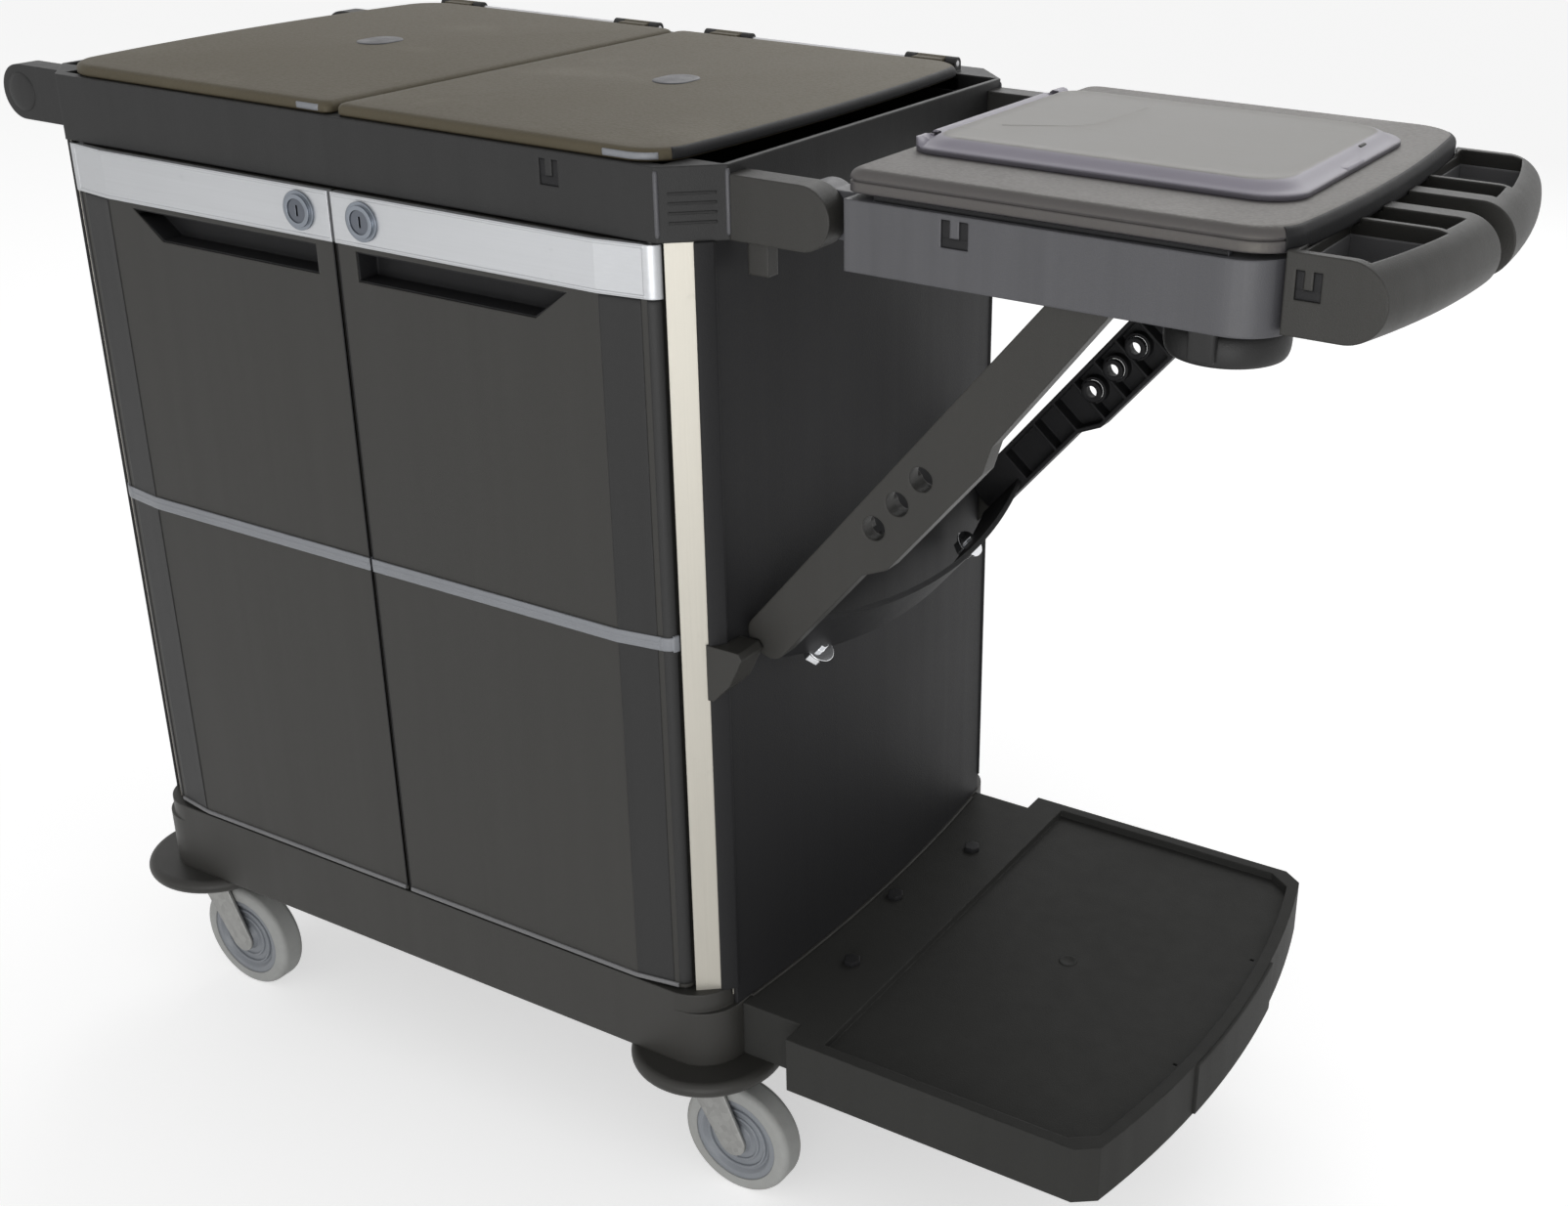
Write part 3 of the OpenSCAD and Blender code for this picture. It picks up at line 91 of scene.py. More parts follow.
class CartFinishes(bpy.types.PropertyGroup):
    """Colours of the cart's finishes."""

    charcoal: colour_setting("Charcoal plastic", (0.031, 0.030, 0.027), "Cabinet mouldings and doors")
    # Its deck beads are painted highlights on the deck's bag-end corners.
    slate: colour_setting("Slate plastic", (0.070, 0.070, 0.077), "Bag frame, lid pads and deck beads")
    # Both lid colours are lighter than the lids' dark plastic: partly its warm tone, partly a painted sheen
    # on their tops.
    lid: colour_setting("Lid plastic", (0.056, 0.046, 0.028), "Grained lids of the deck")
    bag_lid: colour_setting("Bag lid plastic", (0.054, 0.051, 0.056), "Grained lid of the bag holder")
    # Partly the plastic's own dark tone, partly painted shade on the end panels and rear parts that face away
    # from the light.
    panel: colour_setting("End panel plastic", (0.016, 0.016, 0.017), "Bowed end panels and dark trims")
    platform: colour_setting("Platform plastic", (0.038, 0.038, 0.036), "Lower platform")
    deck: colour_setting("Deck plastic", (0.021, 0.021, 0.021), "Top deck, push bar and door edges")
    # Painted light: this pale grey stands for the light inside the tray's pockets and for the highlight under
    # the doors.
    liner: colour_setting("Tray liner", (0.16, 0.16, 0.165), "Liners of the end tray's pockets, door beads")
    silver: colour_setting("Silver rail", (0.50, 0.51, 0.525), "Anodised rails on the doors")
    cream: colour_setting("Cream post", (0.45, 0.43, 0.38), "Anodised corner posts")
    trim: colour_setting("Grey trim", (0.24, 0.25, 0.27), "Strip across the doors")
    smoke: colour_setting("Smoky cover", (0.25, 0.24, 0.20), "Translucent checklist cover")
    rubber: colour_setting("Grey rubber", (0.34, 0.345, 0.335), "Non-marking tyres")
    hub: colour_setting("Hub plastic", (0.24, 0.256, 0.28), "Moulded wheel hubs")
    zinc: colour_setting("Zinc plating", (0.30, 0.30, 0.29), "Caster forks")
    chrome: colour_setting("Chrome", (0.80, 0.81, 0.83), "Bolts")
    lock: colour_setting("Lock plating", (0.22, 0.24, 0.27), "Lock rosettes")
    barrel: colour_setting("Lock barrel", (0.12, 0.13, 0.15), "Turning lock barrels")
    steel: colour_setting("Bright steel", (0.55, 0.55, 0.56), "Pins and rods")
    # Pale edges are partly wear and partly a painted highlight on the rounded edges.
    wear: amount_setting("Edge wear", 0.5, "How far edges are rubbed pale, up to 1")
    soft_edge: length_setting("Soft edge", 0.0025, "Radius at which moulded edges look rounded")


class CartFittings(bpy.types.PropertyGroup):
    """Sizes of the fittings that the scene adds."""

    lid_crown: length_setting("Lid crown", 0.0022, "Rise of a lid's middle over its edge")
    lid_round: length_setting("Lid edge", 0.0055, "Rounding of a deck lid's upper edge")
    bag_lid_round: length_setting("Bag lid edge", 0.0080, "Rounding of the bag lid's upper edge")
    # Painted highlight: the pale strip round a lid's front corner stands for a highlight on that corner.
    tab_length: length_setting("Corner tab", 0.046, "Length of the pale tab round a lid's corner")
    pad_length: length_setting("Lid pad", 0.050, "Length of the bare oval pad on a lid")
    # Painted highlight: the pale line under each door stands for the highlight along the doors' foot.
    bead_radius: length_setting("Door bead", 0.0017, "Half depth of the pale bead under a door")
    bead_height: length_setting("Bead height", 0.0052, "Height of the pale bead under a door")
    rib_proud: length_setting("Corner rib", 0.0011, "How far the ribs stand out of the deck's corners")
    ring_tube: length_setting("Ring bar", 0.0130, "Half height of the hook ring's bar")
    trim_radius: length_setting("Panel trim", 0.0022, "Radius of the trims at the end panels' edges")


class CartStudio(bpy.types.PropertyGroup):
    """Light and floor of the studio."""

    floor: colour_setting("Floor", (0.86, 0.86, 0.86), "Pale floor")
    key: amount_setting("Key light", 46.0, "Power of the large front light")
    fill: amount_setting("Fill light", 7.0, "Power of the light from the left")
    back: amount_setting("Back light", 36.0, "Power of the light behind")
    side: amount_setting("Side light", 4.0, "Power of the light on the end panel")
    ambient: amount_setting("Room light", 0.46, "Strength of the even light")
    glow: amount_setting("Floor glow", 0.52, "Glow that whitens the floor in view")


# ---------------- shader graphs


class Wire:
    """A socket of a shader graph; arithmetic on it adds Math nodes."""

    def __init__(self, graph, socket):
        self.graph = graph
        self.socket = socket

    def math(self, operation, first, second):
        return self.graph.add("ShaderNodeMath", {"operation": operation}, [first, second])

    def __add__(self, other):
        return self.math("ADD", self, other)

    def __sub__(self, other):
        return self.math("SUBTRACT", self, other)

    def __rsub__(self, other):
        return self.math("SUBTRACT", other, self)

    def __mul__(self, other):
        return self.math("MULTIPLY", self, other)

    __radd__ = __add__


class Graph:
    """Node tree of one material or world."""

    def __init__(self, owner):
        owner.use_nodes = True
        self.owner, self.tree = owner, owner.node_tree
        self.tree.nodes.clear()

    def add(self, kind, settings, values, output=0):
        """Adds a node: its settings first, then the values or links of its sockets."""
        node = self.tree.nodes.new(kind)
        for name, value in settings.items():
            setattr(node, name, value)
        for key, value in values.items() if isinstance(values, dict) else enumerate(values):
            if isinstance(value, Wire):
                self.tree.links.new(value.socket, node.inputs[key])
            else:
                node.inputs[key].default_value = value
        return Wire(self, node.outputs[output]) if node.outputs else None

    def place(self):
        """Object coordinates, in metres."""
        return self.add("ShaderNodeTexCoord", {}, {}, "Object")

    def noise(self, scale, detail=2.0, rough=0.5, at=None):
        """Soft noise between 0 and 1."""
        values = {"Vector": at or self.place(), "Scale": scale, "Detail": detail, "Roughness": rough}
        return self.add("ShaderNodeTexNoise", {}, values, "Fac")

    def drawn(self, scales, detail, rough):
        """Noise drawn out into lines by a scale of its own along each axis."""
        at = self.add("ShaderNodeMapping", {}, {"Vector": self.place(), "Scale": scales})
        return self.noise(1.0, detail, rough, at)

    def cells(self, scale, output="Distance"):
        """Distance to the nearest cell centre, or a colour for each cell."""
        return self.add("ShaderNodeTexVoronoi", {}, {"Vector": self.place(), "Scale": scale}, output)

    def span(self, value, low, high):
        """Value carried smoothly from the span low to high on to 0 to 1."""
        values = {"Value": value, "From Min": low, "From Max": high, "To Min": 0.0, "To Max": 1.0}
        return self.add("ShaderNodeMapRange", {"interpolation_type": "SMOOTHSTEP"}, values)

    def mix(self, share, first, second):
        """First colour going over to second, by the node's colour sockets 6 and 7 and its output 2."""
        return self.add("ShaderNodeMix", {"data_type": "RGBA"}, {0: share, 6: first, 7: second}, 2)

    def soft_normal(self, radius):
        """Surface normal with its edges rounded to a radius."""
        return self.add("ShaderNodeBevel", {"samples": 6}, {"Radius": radius})

    def edges(self, soft):
        """0 on plain faces, rising to 1 where the rounded normal leaves the true one."""
        true_normal = self.add("ShaderNodeNewGeometry", {}, {}, "Normal")
        dot = self.add("ShaderNodeVectorMath", {"operation": "DOT_PRODUCT"}, [soft, true_normal], "Value")
        return self.span(1.0 - dot, 0.01, 0.22)

    def bump(self, height, distance, normal, strength):
        """Normal pushed by a height between 0 and 1 that stands for a distance."""
        values = {"Strength": strength, "Distance": distance, "Height": height, "Normal": normal}
        return self.add("ShaderNodeBump", {}, values)

    def surface(self, **sockets):
        """The material with a Principled surface; underscores in names stand for spaces."""
        values = {name.replace("_", " "): value for name, value in sockets.items()}
        shader = self.add("ShaderNodeBsdfPrincipled", {}, values)
        self.add("ShaderNodeOutputMaterial", {}, [shader])
        return self.owner


def finish_graph(name):
    """Graph of a new material."""
    return Graph(bpy.data.materials.new(name))


def tint(colour, gain):
    """A colour made lighter or darker, with full opacity."""
    return tuple(min(1.0, part * gain) for part in colour) + (1.0,)


def moulded_plastic(care, name, colour, rough, gloss=0.5, grain=0.0011, depth=0.00020, streak=0.20):
    """Injection-moulded plastic: grain, slow waves, flow streaks, hairline scuffs and edges painted pale,
    partly as wear and partly as painted highlight.

    grain is the grain's size and depth its height, both in metres; streak is how far tone follows the flow.
    """
    g = finish_graph(name)
    soft = g.soft_normal(care.soft_edge)
    pebbles = g.cells(1.0 / grain)
    cloud = g.noise(5.0, 3.0)
    speck = g.noise(420.0, 1.0)
    flow = g.drawn((46.0, 46.0, 1.6), 3.0, 0.6)
    hair = g.drawn((9.0, 9.0, 900.0), 2.0, 0.6)
    scuff = g.span(hair, 0.70, 0.78) * g.span(g.noise(14.0, 2.0), 0.55, 0.75)
    # Edges painted pale: partly wear, partly painted highlight.
    worn = g.edges(soft) * g.span(g.noise(60.0, 3.0), 0.30, 0.70) * care.wear
    tone = cloud * 0.5 + flow * streak + speck * 0.12
    body = g.mix(g.span(tone, 0.15, 0.85 + streak), tint(colour, 0.80), tint(colour, 1.22))
    rubbed = g.mix(scuff * 0.22 + worn * 0.55, body, tint(colour, 2.6))
    sheen = rough + (cloud - 0.5) * 0.16 + (speck - 0.5) * 0.08
    sheen = sheen - (flow - 0.5) * streak * 0.5 + scuff * 0.10 - worn * 0.15
    waves = g.bump(cloud, 0.0012, soft, 0.6)
    return g.surface(
        Base_Color=rubbed,
        Roughness=sheen,
        Specular_IOR_Level=gloss,
        Normal=g.bump(pebbles + speck * 0.4, depth, waves, 0.55),
    )


def leather_grain_plastic(care, name, colour, rough, gloss):
    """Lid plastic: two sizes of pebble like leather, polished tops and paler worn patches."""
    g = finish_graph(name)
    soft = g.soft_normal(care.soft_edge)
    large = g.cells(300.0)
    small = g.cells(760.0)
    pebbles = large * 0.7 + small * 0.3
    cloud = g.noise(3.2, 4.0)
    # Edges painted paler: partly wear, partly painted highlight.
    worn = g.edges(soft) * care.wear
    hands = g.span(g.noise(7.0, 3.0, 0.6), 0.52, 0.78)
    body = g.mix(cloud * 0.7 + pebbles * 0.35, tint(colour, 0.82), tint(colour, 1.20))
    rubbed = g.mix(hands * 0.16 + worn * 0.35, body, tint(colour, 2.0))
    sheen = rough + (cloud - 0.5) * 0.12 + pebbles * 0.14 - hands * 0.05 - worn * 0.10
    return g.surface(
        Base_Color=rubbed,
        Roughness=sheen,
        Specular_IOR_Level=gloss,
        Specular_Tint=(1.0, 0.94, 0.78, 1.0),
        Normal=g.bump(pebbles, 0.00035, g.bump(cloud, 0.0015, soft, 0.5), 0.5),
    )


def anodised(care, name, colour, rough, along):
    """Anodised aluminium: drawing lines along the profile, a satin surface and edges painted brighter, partly
    as wear and partly as painted highlight.
    """
    g = finish_graph(name)
    soft = g.soft_normal(care.soft_edge * 0.5)
    lines = g.drawn(tuple(6.0 if axis == along else 700.0 for axis in "XYZ"), 3.0, 0.6)
    cloud = g.noise(4.0, 2.0)
    marks = g.span(g.noise(30.0, 4.0, 0.65), 0.64, 0.74)
    # Edges painted brighter: partly wear, partly painted highlight.
    worn = g.edges(soft) * care.wear
    body = g.mix(lines * 0.6 + cloud * 0.4, tint(colour, 0.86), tint(colour, 1.08))
    return g.surface(
        Base_Color=g.mix(worn * 0.4, g.mix(marks * 0.18, body, tint(colour, 0.62)), tint(colour, 1.25)),
        Metallic=0.55 + lines * 0.15,
        Roughness=rough + (lines - 0.5) * 0.14 + marks * 0.10,
        Normal=g.bump(lines, 0.00012, soft, 0.5),
    )


def bright_metal(care, name, colour, rough):
    """Polished or plated metal: fine turning marks, smudges and a little haze."""
    g = finish_graph(name)
    soft = g.soft_normal(care.soft_edge * 0.4)
    turned = g.drawn((60.0, 900.0, 60.0), 2.0, 0.5)
    haze = g.span(g.noise(38.0, 3.0, 0.6), 0.45, 0.75)
    return g.surface(
        Base_Color=g.mix(haze * 0.5 + turned * 0.2, tint(colour, 1.0), tint(colour, 0.72)),
        Metallic=1.0,
        Roughness=rough + haze * 0.12 + (turned - 0.5) * 0.06,
        Normal=g.bump(turned, 0.00004, soft, 0.4),
    )


def zinc_plating(care, name, colour):
    """Zinc-plated steel: small crystal patches of differing brightness and dull spots."""
    g = finish_graph(name)
    soft = g.soft_normal(care.soft_edge * 0.6)
    patch = g.add("ShaderNodeSeparateColor", {}, [g.cells(160.0, "Color")])
    dull = g.span(g.noise(26.0, 4.0, 0.6), 0.50, 0.72)
    # Edges painted brighter: partly wear, partly painted highlight.
    worn = g.edges(soft) * care.wear
    body = g.mix(patch * 0.5 + dull * 0.4, tint(colour, 1.04), tint(colour, 0.74))
    return g.surface(
        Base_Color=g.mix(worn * 0.4, body, tint(colour, 1.3)),
        Metallic=0.45 + patch * 0.1,
        Roughness=0.42 + patch * 0.10 + dull * 0.12,
        Normal=g.bump(patch, 0.00006, soft, 0.4),
    )


def grey_rubber(care, name, colour):
    """Non-marking rubber: mottled, dusty in patches, with a fine pitted skin."""
    g = finish_graph(name)
    soft = g.soft_normal(care.soft_edge * 0.8)
    mottle = g.noise(34.0, 4.0, 0.6)
    pits = g.cells(900.0)
    dust = g.span(g.noise(11.0, 3.0, 0.6), 0.48, 0.74)
    body = g.mix(mottle, tint(colour, 0.78), tint(colour, 1.16))
    return g.surface(
        Base_Color=g.mix(dust * 0.30, body, (0.36, 0.35, 0.33, 1.0)),
        Roughness=0.58 + dust * 0.22 + (mottle - 0.5) * 0.12,
        Specular_IOR_Level=0.45,
        Normal=g.bump(pits + mottle * 0.6, 0.0003, soft, 0.5),
    )


def smoky_plastic(care, name, colour, foot, top):
    """Tinted clear plastic: see-through on top, lilac on the slopes, darkened at the foot as a painted shadow
    line, with edges paled as a painted highlight, finely scratched.

    foot and top are the cover's lowest and highest places.
    """
    g = finish_graph(name)
    soft = g.soft_normal(care.soft_edge)
    edge = g.edges(soft)
    haze = g.noise(9.0, 3.0)
    hair = g.span(g.drawn((12.0, 700.0, 12.0), 2.0, 0.6), 0.66, 0.76)
    lilac = tuple(part * gain for part, gain in zip(colour, (1.55, 1.52, 2.15)))
    height = g.add("ShaderNodeSeparateXYZ", {}, [g.place()], "Z")
    slope = 1.0 - g.span(height, top - 0.0019, top - 0.0008)
    # The lowest few millimetres of the slopes are darkened: a painted shadow line at the cover's foot.
    sides = g.mix(g.span(height, foot + 0.0034, foot + 0.0048), tint(lilac, 0.30), tint(lilac, 1.0))
    body = g.mix(slope, tint(colour, 1.0), sides)
    return g.surface(
        # Edges are paled as a painted highlight, and patches of haze are paled too.
        Base_Color=g.mix(edge * 0.3 + haze * 0.15, body, tint(lilac, 1.2)),
        Roughness=0.34 + haze * 0.10 + hair * 0.14,
        Specular_IOR_Level=0.35,
        Alpha=0.70 + slope * 0.16 + edge * 0.12 + (haze - 0.5) * 0.10,
        Coat_Weight=0.08 + (haze - 0.5) * 0.1,
        Normal=g.bump(hair, 0.00005, soft, 0.3),
    )


def make_finishes(care):
    """Every finish of the cart, by the slot that it fills."""
    plastics = {
        "black_plastic": ("charcoal_moulding", care.charcoal, 0.50, 0.34),
        "grey_plastic": ("slate_moulding", care.slate, 0.46, 0.5, 0.0010, 0.00018, 0.80),
        "grey_trim": ("grey_trim", care.trim, 0.42, 0.5, 0.0009, 0.00010, 0.10),
        "wheel_plastic": ("hub_plastic", care.hub, 0.44, 0.5, 0.0009, 0.00012, 0.12),
        "end_panel": ("end_panel", care.panel, 0.58, 0.20, 0.0012, 0.00020, 0.16),
        # Pale finish of painted light, for the tray's pockets and the line under the doors.
        "tray_liner": ("tray_liner", care.liner, 0.50),
        "platform": ("platform_moulding", care.platform, 0.62, 0.10, 0.0012),
        "deck_plastic": ("deck_moulding", care.deck, 0.52, 0.30, 0.0011, 0.00020, 0.24),
    }
    metals = {
        "chrome": ("chrome", care.chrome, 0.14),
        "steel": ("bright_steel", care.steel, 0.32),
        "lock_plating": ("lock_plating", care.lock, 0.34),
        "lock_barrel": ("lock_barrel", care.barrel, 0.30),
    }
    foot, top = (corner[2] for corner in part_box("smoky_cover"))
    finishes = {slot: moulded_plastic(care, *values) for slot, values in plastics.items()}
    finishes.update({slot: bright_metal(care, *values) for slot, values in metals.items()})
    finishes.update(
        lid_plastic=leather_grain_plastic(care, "leather_grain_lid", care.lid, 0.56, 0.55),
        bag_lid_plastic=leather_grain_plastic(care, "leather_grain_bag_lid", care.bag_lid, 0.46, 0.70),
        silver_aluminium=anodised(care, "silver_rail", care.silver, 0.40, "X"),
        post_aluminium=anodised(care, "cream_post", care.cream, 0.46, "Z"),
        smoky_plastic=smoky_plastic(care, "smoky_cover", care.smoke, foot, top),
        zinc_steel=zinc_plating(care, "zinc_plating", care.zinc),
        grey_tyre=grey_rubber(care, "grey_rubber", care.rubber),
    )
    return finishes


FINISH = {}
OWN_FINISH = {
    # Darker copy of the cabinet plastic: partly its own tone, partly painted shade on parts facing away from
    # the light.
    "end_panel": (
        "end_panel_left", "end_panel_right", "back_panel", "platform_bolts", "strut_apron", "strut_rear",
    ),
    "platform": ("lower_platform",),
    "deck_plastic": ("top_deck", "handle_arms", "push_bar"),
    "black_plastic": ("bag_end_tray", "bag_hinge_arms", "strut_front", "strut_catches", "corner_bumpers"),
    "lock_plating": ("lock_rosette_left", "lock_rosette_right"),
    "lock_barrel": ("lock_barrel_left", "lock_barrel_right"),
}


# ---------------- surfaces


def box_of(node):
    """Low and high corner of a node's box."""
    return np.array(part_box(node))


def level(x, y, z):
    """Points of a level path."""
    return np.stack(np.broadcast_arrays(x, y, z), -1)


def grid_quads(rows, columns, close_rows, close_columns):
    """Quads that join a grid of points, each row to the next and each column to the next."""
    r = np.arange(rows if close_rows else rows - 1)[:, None]
    c = np.arange(columns if close_columns else columns - 1)[None, :]
    r2 = (r + 1) % rows
    c2 = (c + 1) % columns
    corners = np.broadcast_arrays(r * columns + c, r * columns + c2, r2 * columns + c2, r2 * columns + c)
    return np.stack(corners, -1).reshape(-1, 4)


def add_piece(name, shells, slot, body, sharp=35.0, finish=None):
    """One mesh from several closed shells, with doubles merged and faces turned outwards, riding on a body.

    A shell is its grid of points and whether its rows and its columns close on themselves.
    """
    points, quads, count = [], [], 0
    for grid, close_rows, close_columns in shells:
        rows, columns = grid.shape[:2]
        points.append(grid.reshape(-1, 3))
        quads.append(grid_quads(rows, columns, close_rows, close_columns) + count)
        count += rows * columns
    mesh = bpy.data.meshes.new(name)
    mesh.from_pydata(np.concatenate(points).tolist(), [], np.concatenate(quads).tolist())
    work = bmesh.new()
    work.from_mesh(mesh)
    bmesh.ops.remove_doubles(work, verts=work.verts, dist=MERGE)
    bmesh.ops.dissolve_degenerate(work, edges=work.edges, dist=SLIVER)
    bmesh.ops.recalc_face_normals(work, faces=work.faces)
    work.to_mesh(mesh)
    work.free()
    mesh.shade_smooth()
    mesh.set_sharp_from_angle(angle=np.radians(sharp))
    mesh.materials.append(FINISH[finish or slot])
    piece = bpy.data.objects.new(name, mesh)
    bpy.context.scene.collection.objects.link(piece)
    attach(piece, body)
    return piece


def round_outline(low, high, radii, per_corner=12, per_side=10):
    """Closed rounded rectangle: quarter circles, anticlockwise from the low corner, and straight sides."""
    signs = np.array([(0, 0), (1, 0), (1, 1), (0, 1)])
    box = np.array([low, high], float)
    turn = np.radians(np.linspace(180, 270, per_corner))
    runs = []
    for k, sign in enumerate(signs):
        centre = box[sign, [0, 1]] + (1 - 2 * sign) * radii[k]
        angle = turn + k * np.pi / 2
        runs.append(centre + radii[k] * np.stack([np.cos(angle), np.sin(angle)], -1))
    share = np.linspace(0, 1, per_side + 2)[1:-1, None]
    sides = [runs[k][-1] + (runs[(k + 1) % 4][0] - runs[k][-1]) * share for k in range(4)]
    return np.concatenate([part for pair in zip(runs, sides) for part in pair])


def bowed_outline(low, high, bow, radii, flip=False):
    """Rounded rectangle whose outer end is pushed out as a shallow parabola."""
    length = high[0] - low[0] - bow
    path = round_outline((0.0, low[1]), (length, high[1]), radii, 12, 24)
    half, middle = (high[1] - low[1]) / 2, (high[1] + low[1]) / 2
    path[:, 0] += bow * (path[:, 0] / length) ** 6 * (1 - ((path[:, 1] - middle) / half) ** 2)
    path[:, 0] = high[0] - path[:, 0] if flip else low[0] + path[:, 0]
    return path[::-1].copy() if flip else path


def capsule(start, end, start_radius, end_radius, per_end=8):
    """Closed outline of two circles and their tangents, which lean by asin(radius difference / distance)."""
    start, end = np.array(start, float), np.array(end, float)
    along = np.arctan2(end[1] - start[1], end[0] - start[0])
    lean = np.arcsin((start_radius - end_radius) / np.linalg.norm(end - start))
    turn = np.linspace(-1, 1, per_end)
    arcs = [
        (end, end_radius, along + turn * (np.pi / 2 - lean)),
        (start, start_radius, along + np.pi + turn * (np.pi / 2 + lean)),
    ]
    return np.concatenate([place + r * np.stack([np.cos(a), np.sin(a)], -1) for place, r, a in arcs])


def straight_sides(corners, per_side):
    """Closed outline of straight sides between corners, each side in equal steps."""
    share = np.linspace(0, 1, per_side, endpoint=False)[None, :, None]
    return (corners[:, None] + (np.roll(corners, -1, 0) - corners)[:, None] * share).reshape(-1, 2)


def carried(path, profile):
    """Rows of a wall: a profile of insets and heights carried round an outline.

    An inset scales the outline about its middle by one minus inset over half size: no corner folds over.
    """
    middle, half = (path.max(0) + path.min(0)) / 2, (path.max(0) - path.min(0)) / 2
    profile = np.array(profile, float)
    rim = middle + (path - middle) * (1 - profile[:, 0, None, None] / half)
    return level(rim[..., 0], rim[..., 1], profile[:, 1, None])


def plate(path, profile, crown=0.0, rings=10):
    """A closed plate: a wall carried round an outline, then drawn in to the middle above and below.

    The underside is drawn in level. The top rises by crown, as one minus the square of the distance from
    the middle.
    """
    wall = carried(path, profile)
    middle = (path.max(0) + path.min(0)) / 2
    share = np.linspace(1, 0, rings)[1:, None]
    x, y = middle[:, None, None] + (wall[-1, :, :2].T - middle[:, None])[:, None] * share
    top = level(x, y, wall[-1, 0, 2] + crown * (1 - share**2))
    x, y = middle[:, None, None] + (wall[0, :, :2].T - middle[:, None])[:, None] * share[::-1]
    low = level(x, y, wall[0, 0, 2])
    return np.concatenate([low, wall, top]), False, True


def holed_plate(path, hole, profile):
    """A plate with an opening: a wall round an outline, its first and last rows joined through the opening.

    The opening's outline has a point for each point of the outer one.
    """
    wall = carried(path, profile)
    edges = [level(*hole.T, wall[k, 0, 2])[None] for k in (0, -1)]
    return np.concatenate([edges[0], wall, edges[1]]), True, True


def edging(path, profile, end, proud=0.0004, sunk=0.0006):
    """A thin strip along one end of an outline, where end holds: a profile at two depths, with point ends. In
    a dark finish it paints the shade on that end.
    """
    profile = np.array(profile, float)
    loop = np.concatenate([profile - (proud, 0.0), profile[::-1] + (sunk, 0.0)])
    strip = carried(path, loop)[:, end]
    tips = [np.repeat(strip[:, k].mean(0)[None, None], len(strip), 0) for k in (0, -1)]
    return np.concatenate([tips[0], strip, tips[1]], 1), True, False


def round_edge(height, radius, steps=6):
    """Profile of a quarter-round upper edge: inset grows as one minus the cosine, height as the sine."""
    a = np.linspace(0, np.pi / 2, steps)
    return [(radius * (1 - np.cos(t)), height - radius + radius * np.sin(t)) for t in a]


def collar(bore, radius, low, high, bevel):
    """Closed profile of a ring with bevelled outer edges."""
    foot = [(bore, low), (radius - bevel, low), (radius, low + bevel)]
    return foot + [(radius, high - bevel), (radius - bevel, high), (bore, high), (bore, low)]


def lathe(profile, centre, axis, around):
    """A turned shape: radius and height of the profile carried round an axis through centre."""
    axis = np.array(axis, float) / np.linalg.norm(axis)
    side = np.cross(axis, ALONG_Z if abs(axis[2]) < 0.9 else ALONG_X)
    side /= np.linalg.norm(side)
    up = np.cross(axis, side)
    a = np.linspace(0, 2 * np.pi, around, endpoint=False)[:, None]
    ring = np.cos(a) * side + np.sin(a) * up
    radius, height = np.array(profile, float).T[..., None, None]
    return np.array(centre, float) + radius * ring + height * axis, False, True


def tube(path, width, height, power=2.0, around=16, closed=False):
    """A bar: a superellipse, width across and height up, along a level path; open ends close to a point."""
    if closed:
        along = np.roll(path, -1, 0) - np.roll(path, 1, 0)
    else:
        along = np.gradient(path, axis=0)
    along /= np.linalg.norm(along, axis=1, keepdims=True)
    side = np.cross(along, ALONG_Z)
    side /= np.linalg.norm(side, axis=1, keepdims=True)
    a = np.linspace(0, 2 * np.pi, around, endpoint=False)
    c, s = np.cos(a), np.sin(a)
    across = np.sign(c) * np.abs(c) ** (2 / power) * width / 2
    rise = np.sign(s) * np.abs(s) ** (2 / power) * height / 2
    grid = path[:, None] + side[:, None] * across[None, :, None] + ALONG_Z * rise[None, :, None]
    if not closed:
        ends = [np.repeat(path[k][None, None], around, 1) for k in (0, -1)]
        grid = np.concatenate([ends[0], grid, ends[1]])
    return grid, closed, True


def soft_block(corner, opposite, radius):
    """A block between opposite corners, with rounded upright corners and rounded upper and lower edges."""
    low, high = np.minimum(corner, opposite), np.maximum(corner, opposite)
    path = round_outline(low[:2], high[:2], [radius] * 4, 5, 2)
    bevel = min(radius, (high[2] - low[2]) / 2) * 0.6
    lower = [(bevel, low[2]), (bevel * 0.3, low[2] + bevel * 0.3), (0.0, low[2] + bevel)]
    upper = [(0.0, high[2] - bevel), (bevel * 0.3, high[2] - bevel * 0.3), (bevel, high[2])]
    return plate(path, lower + upper, rings=3)


# ---------------- pieces


class CART_OT_finishes(bpy.types.Operator):
    """Give every CAD node its finish"""

    bl_idname = "cart.finishes"
    bl_label = "Finishes"

    def execute(self, context):
        FINISH.update(make_finishes(context.scene.cart_finishes))
        finish = {row["node"]: row["material_slot"] for row in frame["record"]["subparts"]}
        finish.update({name: own for own, names in OWN_FINISH.items() for name in names})
        for name, node in NODES.items():
            for holder in node.material_slots:
                holder.material = FINISH[finish[name]]
        return {"FINISHED"}


